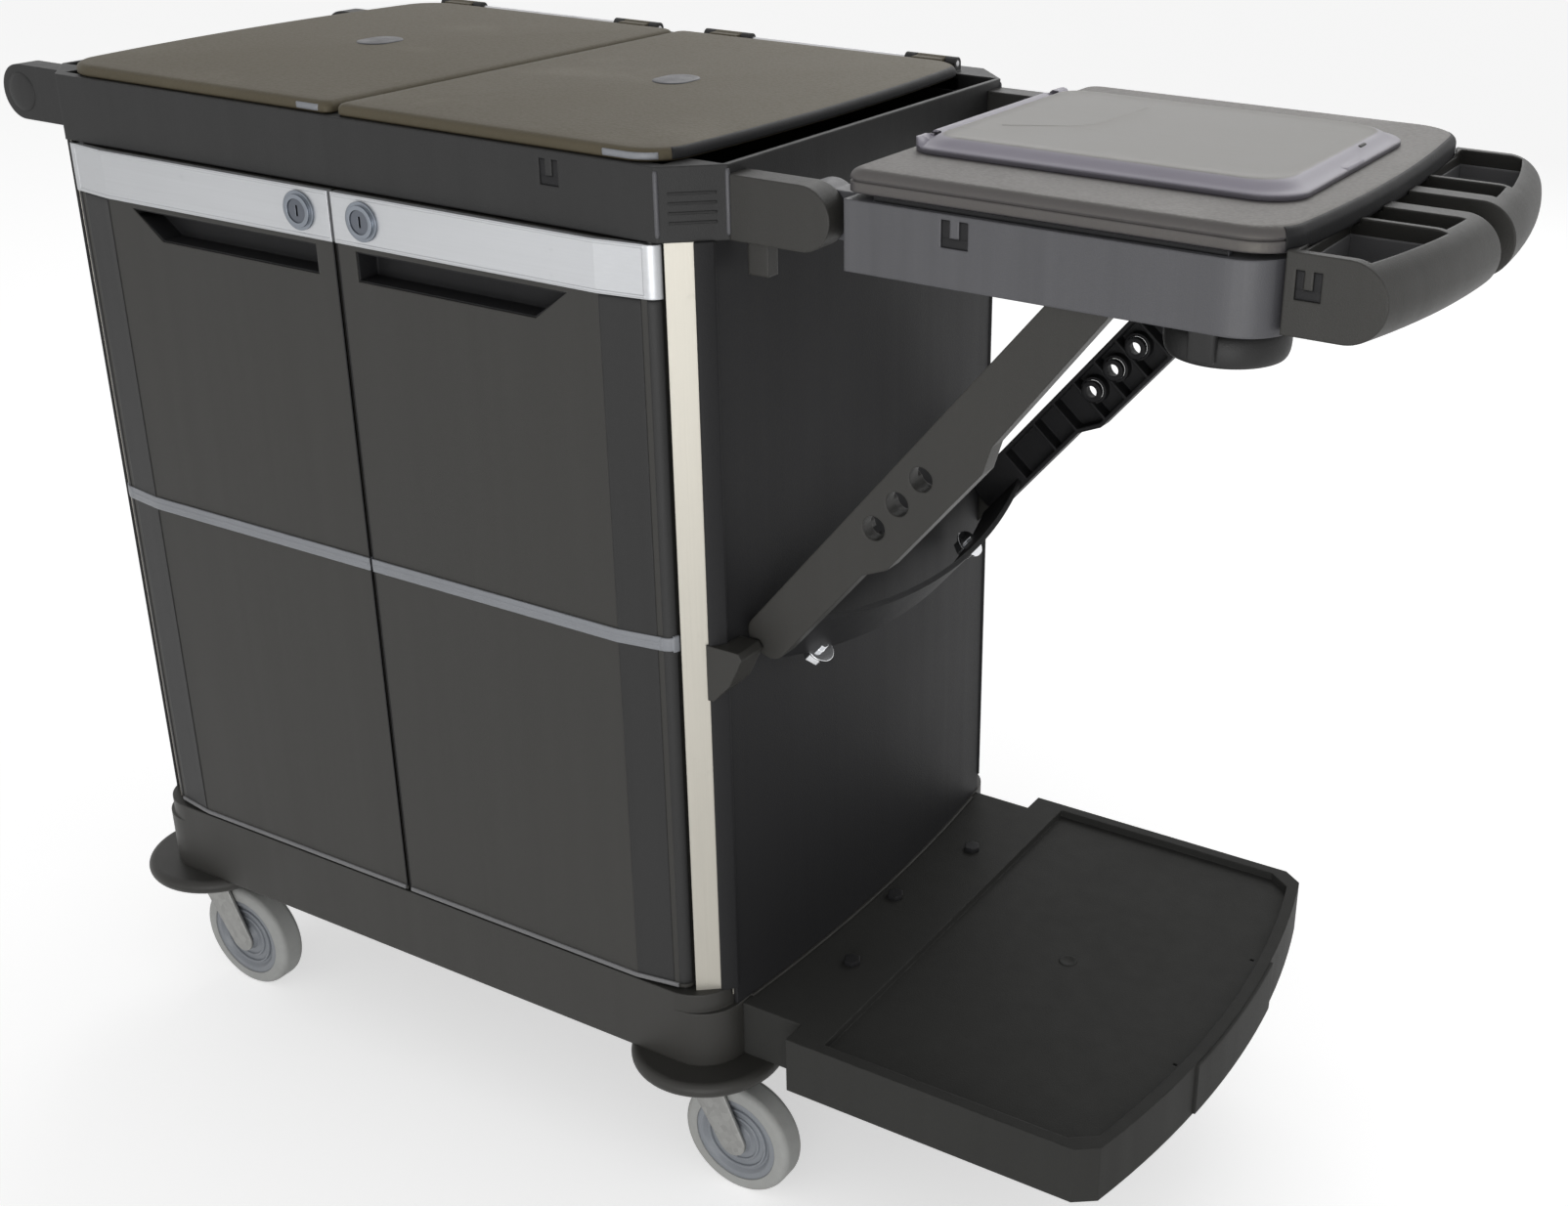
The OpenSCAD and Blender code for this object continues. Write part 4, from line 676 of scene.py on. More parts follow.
class CART_OT_deck_lids(bpy.types.Operator):
    """Crowned, round-edged lids in place of the flat ones, with their hinge knuckles, pads, pale strips round
    their corners that paint a highlight, and a dark strip that paints shade on the right lid's free end
    """

    bl_idname = "cart.deck_lids"
    bl_label = "Deck lids"

    thickness, skin, skirt, lip = 0.012, 0.004, 0.018, 0.0015
    bow = {"left": 0.018, "right": 0.012}
    tight, wide = 0.008, 0.034
    corners = [tight, wide, wide, tight]
    knuckle, bore, bevel = 0.0065, 0.0031, 0.0008
    knuckle_in, knuckle_width, rod_back = 0.040, 0.034, 0.010
    tab_angles, tab_rise, tab_width, tab_height = (268, 318), 0.0048, 0.0022, 0.0058
    pad_shape, pad_proud, pad_round = np.array((0.36, 0.5)), 0.0009, 0.0008

    def knuckles(self, inner, outer, rod_y, rod_z):
        """Two rings round the hinge rod, each with the leaf that joins it to the lid."""
        k, width, turn = self.knuckle, self.knuckle_width, np.sign(outer - inner)
        ring = collar(self.bore, k, 0.0, width, self.bevel)
        shells = []
        for start in (inner + turn * self.knuckle_in, outer - turn * (self.knuckle_in + width)):
            x = min(start, start + turn * width)
            leaf = (x, rod_y - self.rod_back - 0.004, rod_z - 0.002)
            shells.append(lathe(ring, (x, rod_y, rod_z), ALONG_X, 28))
            shells.append(soft_block(leaf, (x + width, rod_y - 0.003, rod_z + k - 0.0015), 0.0012))
        return shells

    def tab_path(self, x, y, radius, run, z):
        """Level path of a pale corner strip that paints a highlight: straight along the front edge, then an
        arc round the corner.
        """
        a = np.radians(np.linspace(*self.tab_angles, 18))
        arc_x, arc_y = x + radius * np.cos(a), y + radius * np.sin(a)
        straight = arc_x[0] - np.linspace(run, 0, 8)[:-1]
        return level(np.append(straight, arc_x), np.append(np.full(7, arc_y[0]), arc_y), z)

    def execute(self, context):
        sizes = context.scene.cart_fittings
        crown, rounding = sizes.lid_crown, sizes.lid_round
        for side in SIDES:
            body, left, bow = "lid_" + side, side == "left", self.bow[side]
            low, high = box_of("deck_lid_" + side)
            rod_y, rod_z = high[1:] - self.knuckle
            back = rod_y - self.rod_back
            base, top = low[2], low[2] + self.thickness
            path = bowed_outline(low, (high[0], back), bow, self.corners, left)
            inside = [(self.skirt, top - self.skin), (self.skirt, base + 0.001)]
            foot = [(self.skirt - self.lip, base), (self.lip, base)]
            edge = [(0.0, base + self.lip)] + round_edge(top - crown * 0.6, rounding)
            rim = inside + foot + edge + [(rounding + 0.010, top - crown * 0.5)]
            inner, outer = (high[0], low[0]) if left else (low[0], high[0])
            shells = [plate(path, rim, crown, 14)] + self.knuckles(inner, outer, rod_y, rod_z)
            lid = add_piece(f"lid_{side}_crowned", shells, "lid_plastic", body)
            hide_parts("deck_lid_" + side)
            # A dark strip on the right lid's free end paints the shade on that edge.
            if not left:
                strip = edging(path, edge[:-1], path[:, 0] > high[0] - bow - 0.004)
                add_piece("lid_right_edging", [strip], "lid_plastic", body, finish="end_panel")

            centre = np.array(((low[0] + high[0]) / 2, (low[1] + back) / 2))
            half = sizes.pad_length * self.pad_shape
            oval = round_outline(centre - half, centre + half, [half[0] * 0.99] * 4, 14, 2)
            rise = top + crown * 0.5
            edge = round_edge(rise + self.pad_proud, self.pad_round, 4)
            pad = plate(oval, [(0.0, rise - 0.003)] + edge, 0.0004, 6)
            add_piece(f"lid_{side}_pad", [pad], "grey_plastic", body)

            # Pale strip round the lid's front corner: a painted highlight.
            radius, end = (self.tight, self.tight) if left else (self.wide, bow)
            centre = high[0] - end - radius, low[1] + radius
            path = self.tab_path(*centre, radius, sizes.tab_length * 0.45, base + self.tab_rise)
            tab = tube(path, self.tab_width, self.tab_height, 4.0)
            add_piece(f"lid_{side}_corner_tab", [tab], "grey_trim", body)
        return {"FINISHED"}


class CART_OT_bag_lid(bpy.types.Operator):
    """Bag lid with a rolled edge, groove and foot band, open round its tray, in place of the bevelled one"""

    bl_idname = "cart.bag_lid"
    bl_label = "Bag lid"

    height, band, groove, wall = 0.019, 0.009, 0.0016, 0.0055
    bow, corners = 0.014, [0.012, 0.034, 0.034, 0.012]
    tray_lip = 0.0049
    hinge_deep, hinge_half = 0.0135, 0.092
    eye_in, eye_width, eye_half = 0.028, 0.022, 0.0045
    eye = collar(0.0033, 0.0050, 0.0, eye_width, 0.0004)
    lug_y, lug_width, lug_half = 0.104, 0.008, 0.004

    def execute(self, context):
        rounding = context.scene.cart_fittings.bag_lid_round
        low, high = box_of("bag_lid")
        base, top, g = low[2], low[2] + self.height, self.groove
        seam = base + self.band
        foot = [(self.wall, top - 0.004), (self.wall, base), (0.0010, base), (0.0, base + 0.0010)]
        groove = [(0.0, seam - 0.0005), (0.0005, seam), (g, seam), (g, seam + g), (0.0005, seam + g)]
        edge = round_edge(top, rounding, 8)
        path = bowed_outline(low, high, self.bow, self.corners)
        tray_low, tray_high = box_of("paper_tray")[:, :2] + [[self.tray_lip], [-self.tray_lip]]
        hole = round_outline(tray_low, tray_high, [0.002] * 4, 12, 24)
        rows, *closing = holed_plate(path, hole, foot + groove + edge + [(0.018, top)])
        hinge = (rows[..., 0] < low[0] + self.hinge_deep) & (np.abs(rows[..., 1]) < self.hinge_half)
        rows[..., 2] = np.where(hinge, np.maximum(rows[..., 2], top - 0.0042), rows[..., 2])
        shells = [(rows, *closing)]

        rod, pin = box_of("bag_lid_rod"), box_of("cover_pin")
        rod_x, _, rod_z = rod.mean(0)
        pin_x, _, pin_z = pin.mean(0)
        for sign in (-1, 1):
            y = sign * (rod[1][1] - self.eye_in)
            shells.append(lathe(self.eye, (rod_x, y, rod_z), ALONG_Y * sign, 28))
            foot = (rod_x - self.eye_half, y, rod_z + 0.0036)
            head = (rod_x + self.eye_half, y + sign * self.eye_width, top - 0.002)
            shells.append(soft_block(foot, head, 0.0010))
            foot = (pin_x - self.lug_half, sign * self.lug_y, top - 0.002)
            head = (pin_x + self.lug_half, sign * (self.lug_y + self.lug_width), pin_z + 0.003)
            shells.append(soft_block(foot, head, 0.0012))
        lid = add_piece("bag_lid_rolled", shells, "lid_plastic", "bag_lid", finish="bag_lid_plastic")
        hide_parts("bag_lid")
        # A dark strip on the bag lid's free end paints the shade on that edge.
        rise = [(0.0, base + 0.0010), (0.0, seam + g)] + edge[:6]
        strip = edging(path, rise, path[:, 0] > high[0] - 0.020)
        add_piece("bag_lid_edging", [strip], "lid_plastic", "bag_lid", finish="end_panel")
        return {"FINISHED"}


class CART_OT_smoky_cover(bpy.types.Operator):
    """Checklist cover as a thin shell with swept slopes, rib and catch, in place of the faceted one"""

    bl_idname = "cart.smoky_cover"
    bl_label = "Smoky cover"

    wall, rings = 0.0024, 12
    roll, bore = 0.0056, 0.0030
    lug_y, lug_half = 0.108, 0.007
    rib = np.array([(0.046, -0.060), (0.098, -0.028), (0.106, -0.019), (0.110, -0.006), (0.115, 0.082)])

    def rolled(self, rows, inside, pin_x, pin_z):
        """Points behind the hinge pin drawn in to a circle about it, those over it lifted to a smaller one.

        At the lid's two lugs they are moved ahead of the pin, which leaves a notch.
        """
        arm = rows[..., (0, 2)] - np.array((pin_x, pin_z))
        reach = np.linalg.norm(arm, axis=-1)
        share = np.where(arm[..., 0] < 0, np.minimum(1, self.roll / np.maximum(reach, MERGE)), 1)
        x = pin_x + arm[..., 0] * share
        z = pin_z + arm[..., 1] * share
        clear = np.where(inside, self.bore, self.roll - 0.0004)[:, None]
        across = np.abs(x - pin_x)
        lift = pin_z + np.sqrt(np.maximum(clear**2 - across**2, 0))
        z = np.where((across < clear) & (z > pin_z - 0.004), np.maximum(z, lift), z)
        notch = np.abs(np.abs(rows[..., 1]) - self.lug_y) < self.lug_half
        x = np.where(notch, np.maximum(x, pin_x + self.roll + 0.0002), x)
        return level(x, rows[..., 1], z)

    def execute(self, context):
        low, high = box_of("smoky_cover")
        foot, rise = low[2], high[2] - low[2]
        path = round_outline(low[:2], high[:2], [0.026, 0.036, 0.036, 0.026], 16, 120)
        t = np.linspace(0, 1, 9)
        climb = t - 0.08 * np.sin(2 * np.pi * t)
        slope = np.stack([0.0015 + 0.0185 * t, foot + 0.0045 + (rise - 0.0050) * climb], -1)
        inner = slope[::-1] + (self.wall * 0.6, -self.wall)
        profile = [*inner, (self.wall, foot), (0.0, foot), (0.0, foot + 0.0035), *slope]
        rows, *closing = plate(path, profile, 0.0004, self.rings)
        inside = np.arange(len(rows)) < self.rings - 1 + len(inner)
        rows = self.rolled(rows, inside, low[0] + self.roll, foot + self.roll)
        end = high[0]
        tab = soft_block((end - 0.010, -0.022, foot + 0.0004), (end - 0.0006, 0.022, foot + 0.0056), 0.004)
        cover = add_piece("checklist_cover", [(rows, *closing), tab], "smoky_plastic", "smoky_cover", 50.0)
        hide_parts("smoky_cover")

        share = np.linspace(0, 4, 41)
        x, y = (np.interp(share, np.arange(5), places) for places in self.rib.T)
        rib = tube(level(low[0] + x, y, high[2] - 0.0008), 0.0030, 0.0014, 2.2, 12)
        add_piece("checklist_rib", [rib], "smoky_plastic", "smoky_cover")
        corners = (end - 0.020, 0.041, foot + 0.0070), (end - 0.012, 0.057, high[2] - 0.0022)
        add_piece("checklist_catch", [soft_block(*corners, 0.0016)], "black_plastic", "smoky_cover")
        return {"FINISHED"}


class CART_OT_hook_ring(bpy.types.Operator):
    """Hook ring as a smooth tall bar with its stem, in place of the plain band"""

    bl_idname = "cart.hook_ring"
    bl_label = "Hook ring"

    bar = 0.0095
    stem_half, stem_deep = 0.011, 0.0090

    def execute(self, context):
        half_height = context.scene.cart_fittings.ring_tube
        low, high = box_of("hook_ring")
        radius = (high[0] - low[0]) / 2
        x, y = low[0] + radius, high[1] - radius
        a = np.linspace(0, 2 * np.pi, 72, endpoint=False)
        r = radius - self.bar / 2
        circle = level(x + r * np.cos(a), y + r * np.sin(a), low[2] + half_height + 0.0005)
        ring = tube(circle, self.bar, half_height * 2, 2.0, 20, True)
        foot = (x - self.stem_half, low[1], low[2] + 0.006)
        stem = soft_block(foot, (x + self.stem_half, low[1] + self.stem_deep, high[2]), 0.0022)
        piece = add_piece("mop_ring", [ring, stem], "black_plastic", "bag_frame", finish="deck_plastic")
        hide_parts("hook_ring")
        return {"FINISHED"}


class CART_OT_clip_inlays(bpy.types.Operator):
    """Dark blocks that paint the shade in the clip recesses, and dark strips that paint the shadow in the gap
    between the bag frame and its lid
    """

    bl_idname = "cart.clip_inlays"
    bl_label = "Clip inlays"

    deck_clip = (0.00715, 0.020, 0.0440)
    frame_clip = (-0.262, 0.024, 0.0429)
    tray_clip = (0.018, 0.020, 0.0384)
    tall, gap = 0.022, 0.0002
    gasket = (0.2885, 0.5858)

    def inlay(self, start, face, base, clip, sign):
        """Three blocks round a clip's tongue, which paint the recess's shade: one below it and one on each
        side, set back from the face.
        """
        x, z, wide = start + clip[0], base + clip[2], clip[1]
        y0, y1 = face - sign * 0.0008, face - sign * 0.0029
        low, top = z - self.tall / 2 + self.gap, z + self.tall / 2 - self.gap
        shoulder = z - self.tall / 8 - self.gap
        half, tongue = wide / 2 - self.gap, wide / 6 + self.gap
        spans = [(-half, half, low, shoulder), (-half, -tongue, shoulder, top), (tongue, half, shoulder, top)]
        return [soft_block((x + a, y0, z0), (x + b, y1, z1), 0.0004) for a, b, z0, z1 in spans]

    def execute(self, context):
        deck, holder, tray, lid = map(box_of, ("top_deck", "bag_frame", "bag_end_tray", "bag_lid"))
        blocks = self.inlay(0.0, deck[0][1], deck[0][2], self.deck_clip, -1)
        add_piece("deck_clip_inlay", blocks, "black_plastic", "cabinet", finish="end_panel")
        blocks = self.inlay(holder[1][0], holder[0][1], holder[0][2], self.frame_clip, -1)
        # Dark strips under the lid's long edges paint the shadow in the gap between lid and frame.
        start, end = self.gasket
        edge, base = lid[1][1], lid[0][2]
        for sign, face in ((-1, tray[0][1]), (1, tray[1][1])):
            blocks += self.inlay(tray[0][0], face, tray[0][2], self.tray_clip, sign)
            corner = (start, sign * (edge + 0.0006), base - 0.0038)
            blocks.append(soft_block(corner, (end, sign * (edge - 0.0008), base - 0.0004), 0.0004))
        add_piece("bag_clip_inlays", blocks, "black_plastic", "bag_frame", finish="end_panel")
        return {"FINISHED"}


class CART_OT_tray_liners(bpy.types.Operator):
    """Thin pale sheets in the end tray's four pockets, which paint the light that fills them"""

    bl_idname = "cart.tray_liners"
    bl_label = "Tray liners"

    radius = 0.8015
    pockets = ((0.089, 0.202, 0.020), (0.042, 0.083, 0.024))
    wall, floor, reach = 0.006, 0.004, 0.0495

    def execute(self, context):
        low, high = box_of("bag_end_tray")
        inner = low[0] + self.wall
        bottom, lip = low[2] + self.floor, low[2] + self.reach
        profile = [(0.0010, bottom + 0.0008), (0.0010, lip), (0.0003, lip), (0.0003, bottom + 0.0001)]
        shells = []
        for near, far, rim in self.pockets:
            y = np.linspace(near, far, 13)
            bow = high[0] - self.radius + np.sqrt((self.radius - rim) ** 2 - y**2)
            corners = np.array([(inner, near), (bow[0], near), (bow[-1], far), (inner, far)])
            path = straight_sides(corners, 12)
            path[12:24] = np.stack([bow, y], -1)[:-1]
            rows, *closing = plate(path, profile, rings=4)
            shells += [(rows * (1, sign, 1), *closing) for sign in (-1, 1)]
        # The pale sheets paint the light that falls into the pockets.
        add_piece("tray_liners", shells, "black_plastic", "bag_frame", finish="tray_liner")
        return {"FINISHED"}


class CART_OT_door_fittings(bpy.types.Operator):
    """Pale line under each door as a painted highlight, ends of its rail and strip round the hinge edge, a
    dark skin on the bent edge as painted shade, and dark sheets as painted shade in the grip pocket and on
    the meeting edge
    """

    bl_idname = "cart.door_fittings"
    bl_label = "Door fittings"

    bend_width, bend_deep, hinge_radius = 0.056, 0.007, 0.010
    skin = 0.0010
    meeting_edge = 0.0014
    grip_x = np.array((0.022, 0.226, 0.262, 0.022))
    grip_z = np.array((0.033, 0.033, 0.005, 0.005))
    grip_wall = [(0.0014, 0.0240), (0.0014, 0.0010), (0.0004, 0.0010), (0.0004, 0.0252)]

    def face_path(self, door, z, proud):
        """Level path along a door's face: straight, then bent back towards the hinge."""
        inner, outer, turn, front = door
        bend, end = outer - turn * self.bend_width, outer - turn * self.hinge_radius
        x = np.append(np.linspace(inner + turn * 0.002, bend, 24)[:-1], np.linspace(bend, end, 10))
        share = np.clip((x - bend) / (end - bend), 0, 1)
        return level(x, front + self.bend_deep * share - proud, z)

    def edge_path(self, door, z, proud, start, end):
        """Level arc round a door's hinge edge, between two angles from straight ahead."""
        _, outer, turn, front = door
        a = np.radians(np.linspace(start, end, 14))
        r = self.hinge_radius + proud
        x = outer - turn * self.hinge_radius + turn * r * np.sin(a)
        return level(x, front + self.bend_deep + self.hinge_radius - r * np.cos(a), z)

    def grip_lining(self, door, top):
        """Thin cup along the walls of the grip pocket, which paints the pocket's shade: a four-sided outline
        carried back from the face.
        """
        inner, _, turn, front = door
        corners = np.stack([inner + turn * self.grip_x, top - self.grip_z], -1)
        rows, *closing = plate(straight_sides(corners, 8), self.grip_wall, rings=3)
        return rows[..., (0, 2, 1)] + (0.0, front, 0.0), *closing

    def execute(self, context):
        sizes = context.scene.cart_fittings
        for side in SIDES:
            body = "door_" + side
            low, high = box_of("door_panel_" + side)
            front = low[1]
            door = (high[0], low[0], -1, front) if side == "left" else (low[0], high[0], 1, front)
            # Pale line along the foot of the door: a painted highlight.
            r, tall = sizes.bead_radius, sizes.bead_height
            bead = tube(self.face_path(door, low[2] + tall / 2, r * 0.2), 2 * r, tall, 2.4, 12)
            add_piece(f"door_{side}_bead", [bead], "grey_trim", body, finish="tray_liner")

            strip = box_of("door_strip_" + side)
            middle, tall, proud = strip[:, 2].mean(), strip[1][2] - strip[0][2], front - strip[0][1]
            ridge = tube(self.face_path(door, middle, 0.0006), 0.0028, tall * 0.34, 2.2, 12)
            turn = tube(self.edge_path(door, middle, proud / 2, -8, 62), proud + self.skin, tall, 6.0, 18)
            cap = self.edge_path(door, middle, proud / 2, 52, 84)
            cap = tube(cap, proud + 0.0024, tall + 0.003, 5.0, 18)
            add_piece(f"door_{side}_strip_end", [ridge, turn, cap], "grey_trim", body)

            rail = box_of("door_rail_" + side)
            middle, tall, proud = rail[:, 2].mean(), rail[1][2] - rail[0][2], front - rail[0][1]
            rows = rail[:, 2] + (0.0022, -0.0022)
            shells = [tube(self.face_path(door, z, proud), self.skin, 0.0026, 2.2, 8) for z in rows]
            turn = self.edge_path(door, middle, proud / 2, -8, 80)
            shells.append(tube(turn, proud + self.skin, tall, 14.0, 24))
            add_piece(f"door_{side}_rail_end", shells, "silver_aluminium", body)

            foot, head = low[2] + 0.004, rail[0][2] - 0.0005
            middle, tall = (foot + head) / 2, head - foot
            # A darker skin over the door's bent edge paints the shade on the bend.
            bent = self.face_path(door, middle, 0.0)[-10:-1]
            bent[0, 0] += door[2] * 0.0015
            paths = bent, self.edge_path(door, middle, 0.0, 4, 82)
            shells = [tube(path, self.skin, tall, 16.0, 24) for path in paths]
            add_piece(f"door_{side}_edge_band", shells, "black_plastic", body, finish="deck_plastic")
            # Dark sheets paint the shade in the doors' meeting gap and in the grip pocket.
            x0, x1 = door[0], door[0] + door[2] * self.meeting_edge
            edge = soft_block((x0, front - 0.0003, foot), (x1, front + 0.002, head), 0.0004)
            shells = [edge, self.grip_lining(door, rail[0][2])]
            add_piece(f"door_{side}_linings", shells, "black_plastic", body, finish="end_panel")
        return {"FINISHED"}


class CART_OT_deck_ribs(bpy.types.Operator):
    """Level ribs on the deck's four slanted corners, and pale upright strips along their edges at the bag end
    that paint highlights
    """

    bl_idname = "cart.deck_ribs"
    bl_label = "Deck corner ribs"

    cut, margin, bead_in = 0.042, 0.007, 0.0008
    rib_heights = np.linspace(0.016, 0.040, 4)
    bead = [(0.0, 0.004), (0.0016, 0.0045), (0.0022, 0.007), (0.0022, 0.056), (0.0016, 0.0585), (0.0, 0.059)]

    def execute(self, context):
        proud = context.scene.cart_fittings.rib_proud
        low = box_of("top_deck")[0]
        start, end = box_of("handle_arms")[1][0], box_of("bag_hinge_arms")[0][0]
        reach, mid, deep = (end - start) / 2, (end + start) / 2, -low[1]
        share = np.linspace(0, 1, 8)
        ribs, beads = [], []
        for sx in (-1, 1):
            for sy in (-1, 1):
                # Painted highlights: pale strips only on the bag-end corners, where the light catches the
                # edges.
                if sx > 0:
                    for x, y in ((self.cut, self.bead_in), (self.bead_in, self.cut)):
                        place = (mid + reach - x, sy * (deep - y), low[2])
                        beads.append(lathe(self.bead, place, ALONG_Z, 14))
                run = self.cut - 2 * self.margin
                x = mid + sx * (reach - self.cut + self.margin + run * share)
                y = sy * (deep - self.margin - run * share)
                ribs += [tube(level(x, y, low[2] + z), 2 * proud, 0.0024, 2.4, 10) for z in self.rib_heights]
        add_piece("deck_corner_ribs", ribs, "black_plastic", "cabinet", finish="deck_plastic")
        add_piece("deck_corner_beads", beads, "black_plastic", "cabinet", finish="grey_plastic")
        return {"FINISHED"}


class CART_OT_panel_trims(bpy.types.Operator):
    """Dark upright trims where the end panels meet the corner posts"""

    bl_idname = "cart.panel_trims"
    bl_label = "Panel trims"

    foot, bevel = 0.010, 0.0006

    def execute(self, context):
        radius = context.scene.cart_fittings.trim_radius
        shells = []
        for place in CORNERS:
            low, high = box_of("corner_post_" + place)
            sx, x = (1, high[0]) if place.endswith("right") else (-1, low[0])
            sy, y = (-1, low[1]) if place.startswith("front") else (1, high[1])
            start = (x - sx * 0.0050, y - sy * 0.0152)
            end = (x + sx * 0.0040, y - sy * 0.0255)
            foot, head, bevel = low[2] + self.foot, high[2], self.bevel
            profile = [(bevel, foot), (0.0, foot + bevel), (0.0, head - bevel), (bevel, head)]
            shells.append(plate(capsule(start, end, radius, radius), profile, rings=2))
        add_piece("panel_edge_trims", shells, "black_plastic", "cabinet", finish="end_panel")
        return {"FINISHED"}


class CART_OT_hinge_fittings(bpy.types.Operator):
    """Caps and sleeve of the push bar, hex bolts in the strut apron and sleeves in the rear strut"""

    bl_idname = "cart.hinge_fittings"
    bl_label = "Hinge fittings"

    cap = [
        (0.0, 0.0016), (0.008, 0.0014), (0.0150, 0.0009), (0.0190, 0.0003), (0.0200, -0.0004), (0.0, -0.001),
    ]
    grip_in, grip_half, ridge, ridge_steps = 0.034, 0.175, 0.0009, 2.5
    strut_slope = 49.74
    bolt_in = 0.010
    head = [
        (0.0, 0.0100), (0.0085, 0.0100), (0.0118, 0.0080), (0.0120, 0.0), (0.0120, -0.0045), (0.0, -0.0045),
    ]
    washer = [(0.0, -0.0030), (0.0150, -0.0030), (0.0155, -0.0036), (0.0155, -0.0054), (0.0, -0.0060)]
    shank = [(0.0, -0.0040), (0.0050, -0.0040), (0.0050, -0.0125), (0.0, -0.0125)]
    bolt = ((6, head), (32, washer), (16, shank))
    hole_places, hole_aside = (0.225, 0.260, 0.295), 0.004
    sleeve = [(0.0062, 0.0002), (0.0108, 0.0002), (0.0108, 0.0060), (0.0062, 0.0060), (0.0062, 0.0002)]

    def push_bar(self):
        """Domed caps on the handle arms, and a sleeve that swells as clipped sine waves along its middle."""
        low, high = box_of("handle_arms")
        bar = box_of("push_bar")
        x, _, z = bar.mean(0)
        caps = [lathe(self.cap, (x, y, z), ALONG_Y * sign, 48) for sign, y in ((-1, low[1]), (1, high[1]))]
        add_piece("push_bar_caps", caps, "black_plastic", "cabinet", finish="deck_plastic")
        y = np.linspace(low[1] + self.grip_in, high[1] - self.grip_in, 301)
        waves = np.sin(np.arange(301) * np.pi / self.ridge_steps)
        waves = np.clip(waves, 0, 1) * (np.abs(y) < self.grip_half)
        radius = np.pad((bar[1][2] - bar[0][2]) / 2 + self.ridge * waves, 1, constant_values=0.002)
        grip = lathe(np.stack([radius, np.pad(y, 1, "edge")], -1), (x, 0.0, z), ALONG_Y, 40)
        add_piece("push_bar_sleeve", [grip], "black_plastic", "cabinet", 60.0, "end_panel")

    def execute(self, context):
        self.push_bar()
        slope = np.radians(self.strut_slope)
        down = np.array((-np.cos(slope), 0.0, -np.sin(slope)))
        aside = np.array((np.sin(slope), 0.0, -np.cos(slope)))
        low, high = box_of("strut_bolts")
        x, _, z = (low + high) / 2
        places = [(x, y, z) for y in (low[1] + self.bolt_in, high[1] - self.bolt_in)]
        shells = [lathe(profile, place, down, around) for place in places for around, profile in self.bolt]
        bolts = add_piece("apron_bolts", shells, "chrome", "strut_yoke")
        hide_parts("strut_bolts")

        pin, face = box_of("strut_pins").mean(0), box_of("strut_rear")[0][1]
        shells = []
        for distance in self.hole_places:
            x, _, z = pin + down * distance + aside * self.hole_aside
            shells.append(lathe(self.sleeve, (x, face, z), ALONG_Y, 32))
        add_piece("rear_strut_sleeves", shells, "black_plastic", "strut_yoke", finish="end_panel")
        return {"FINISHED"}


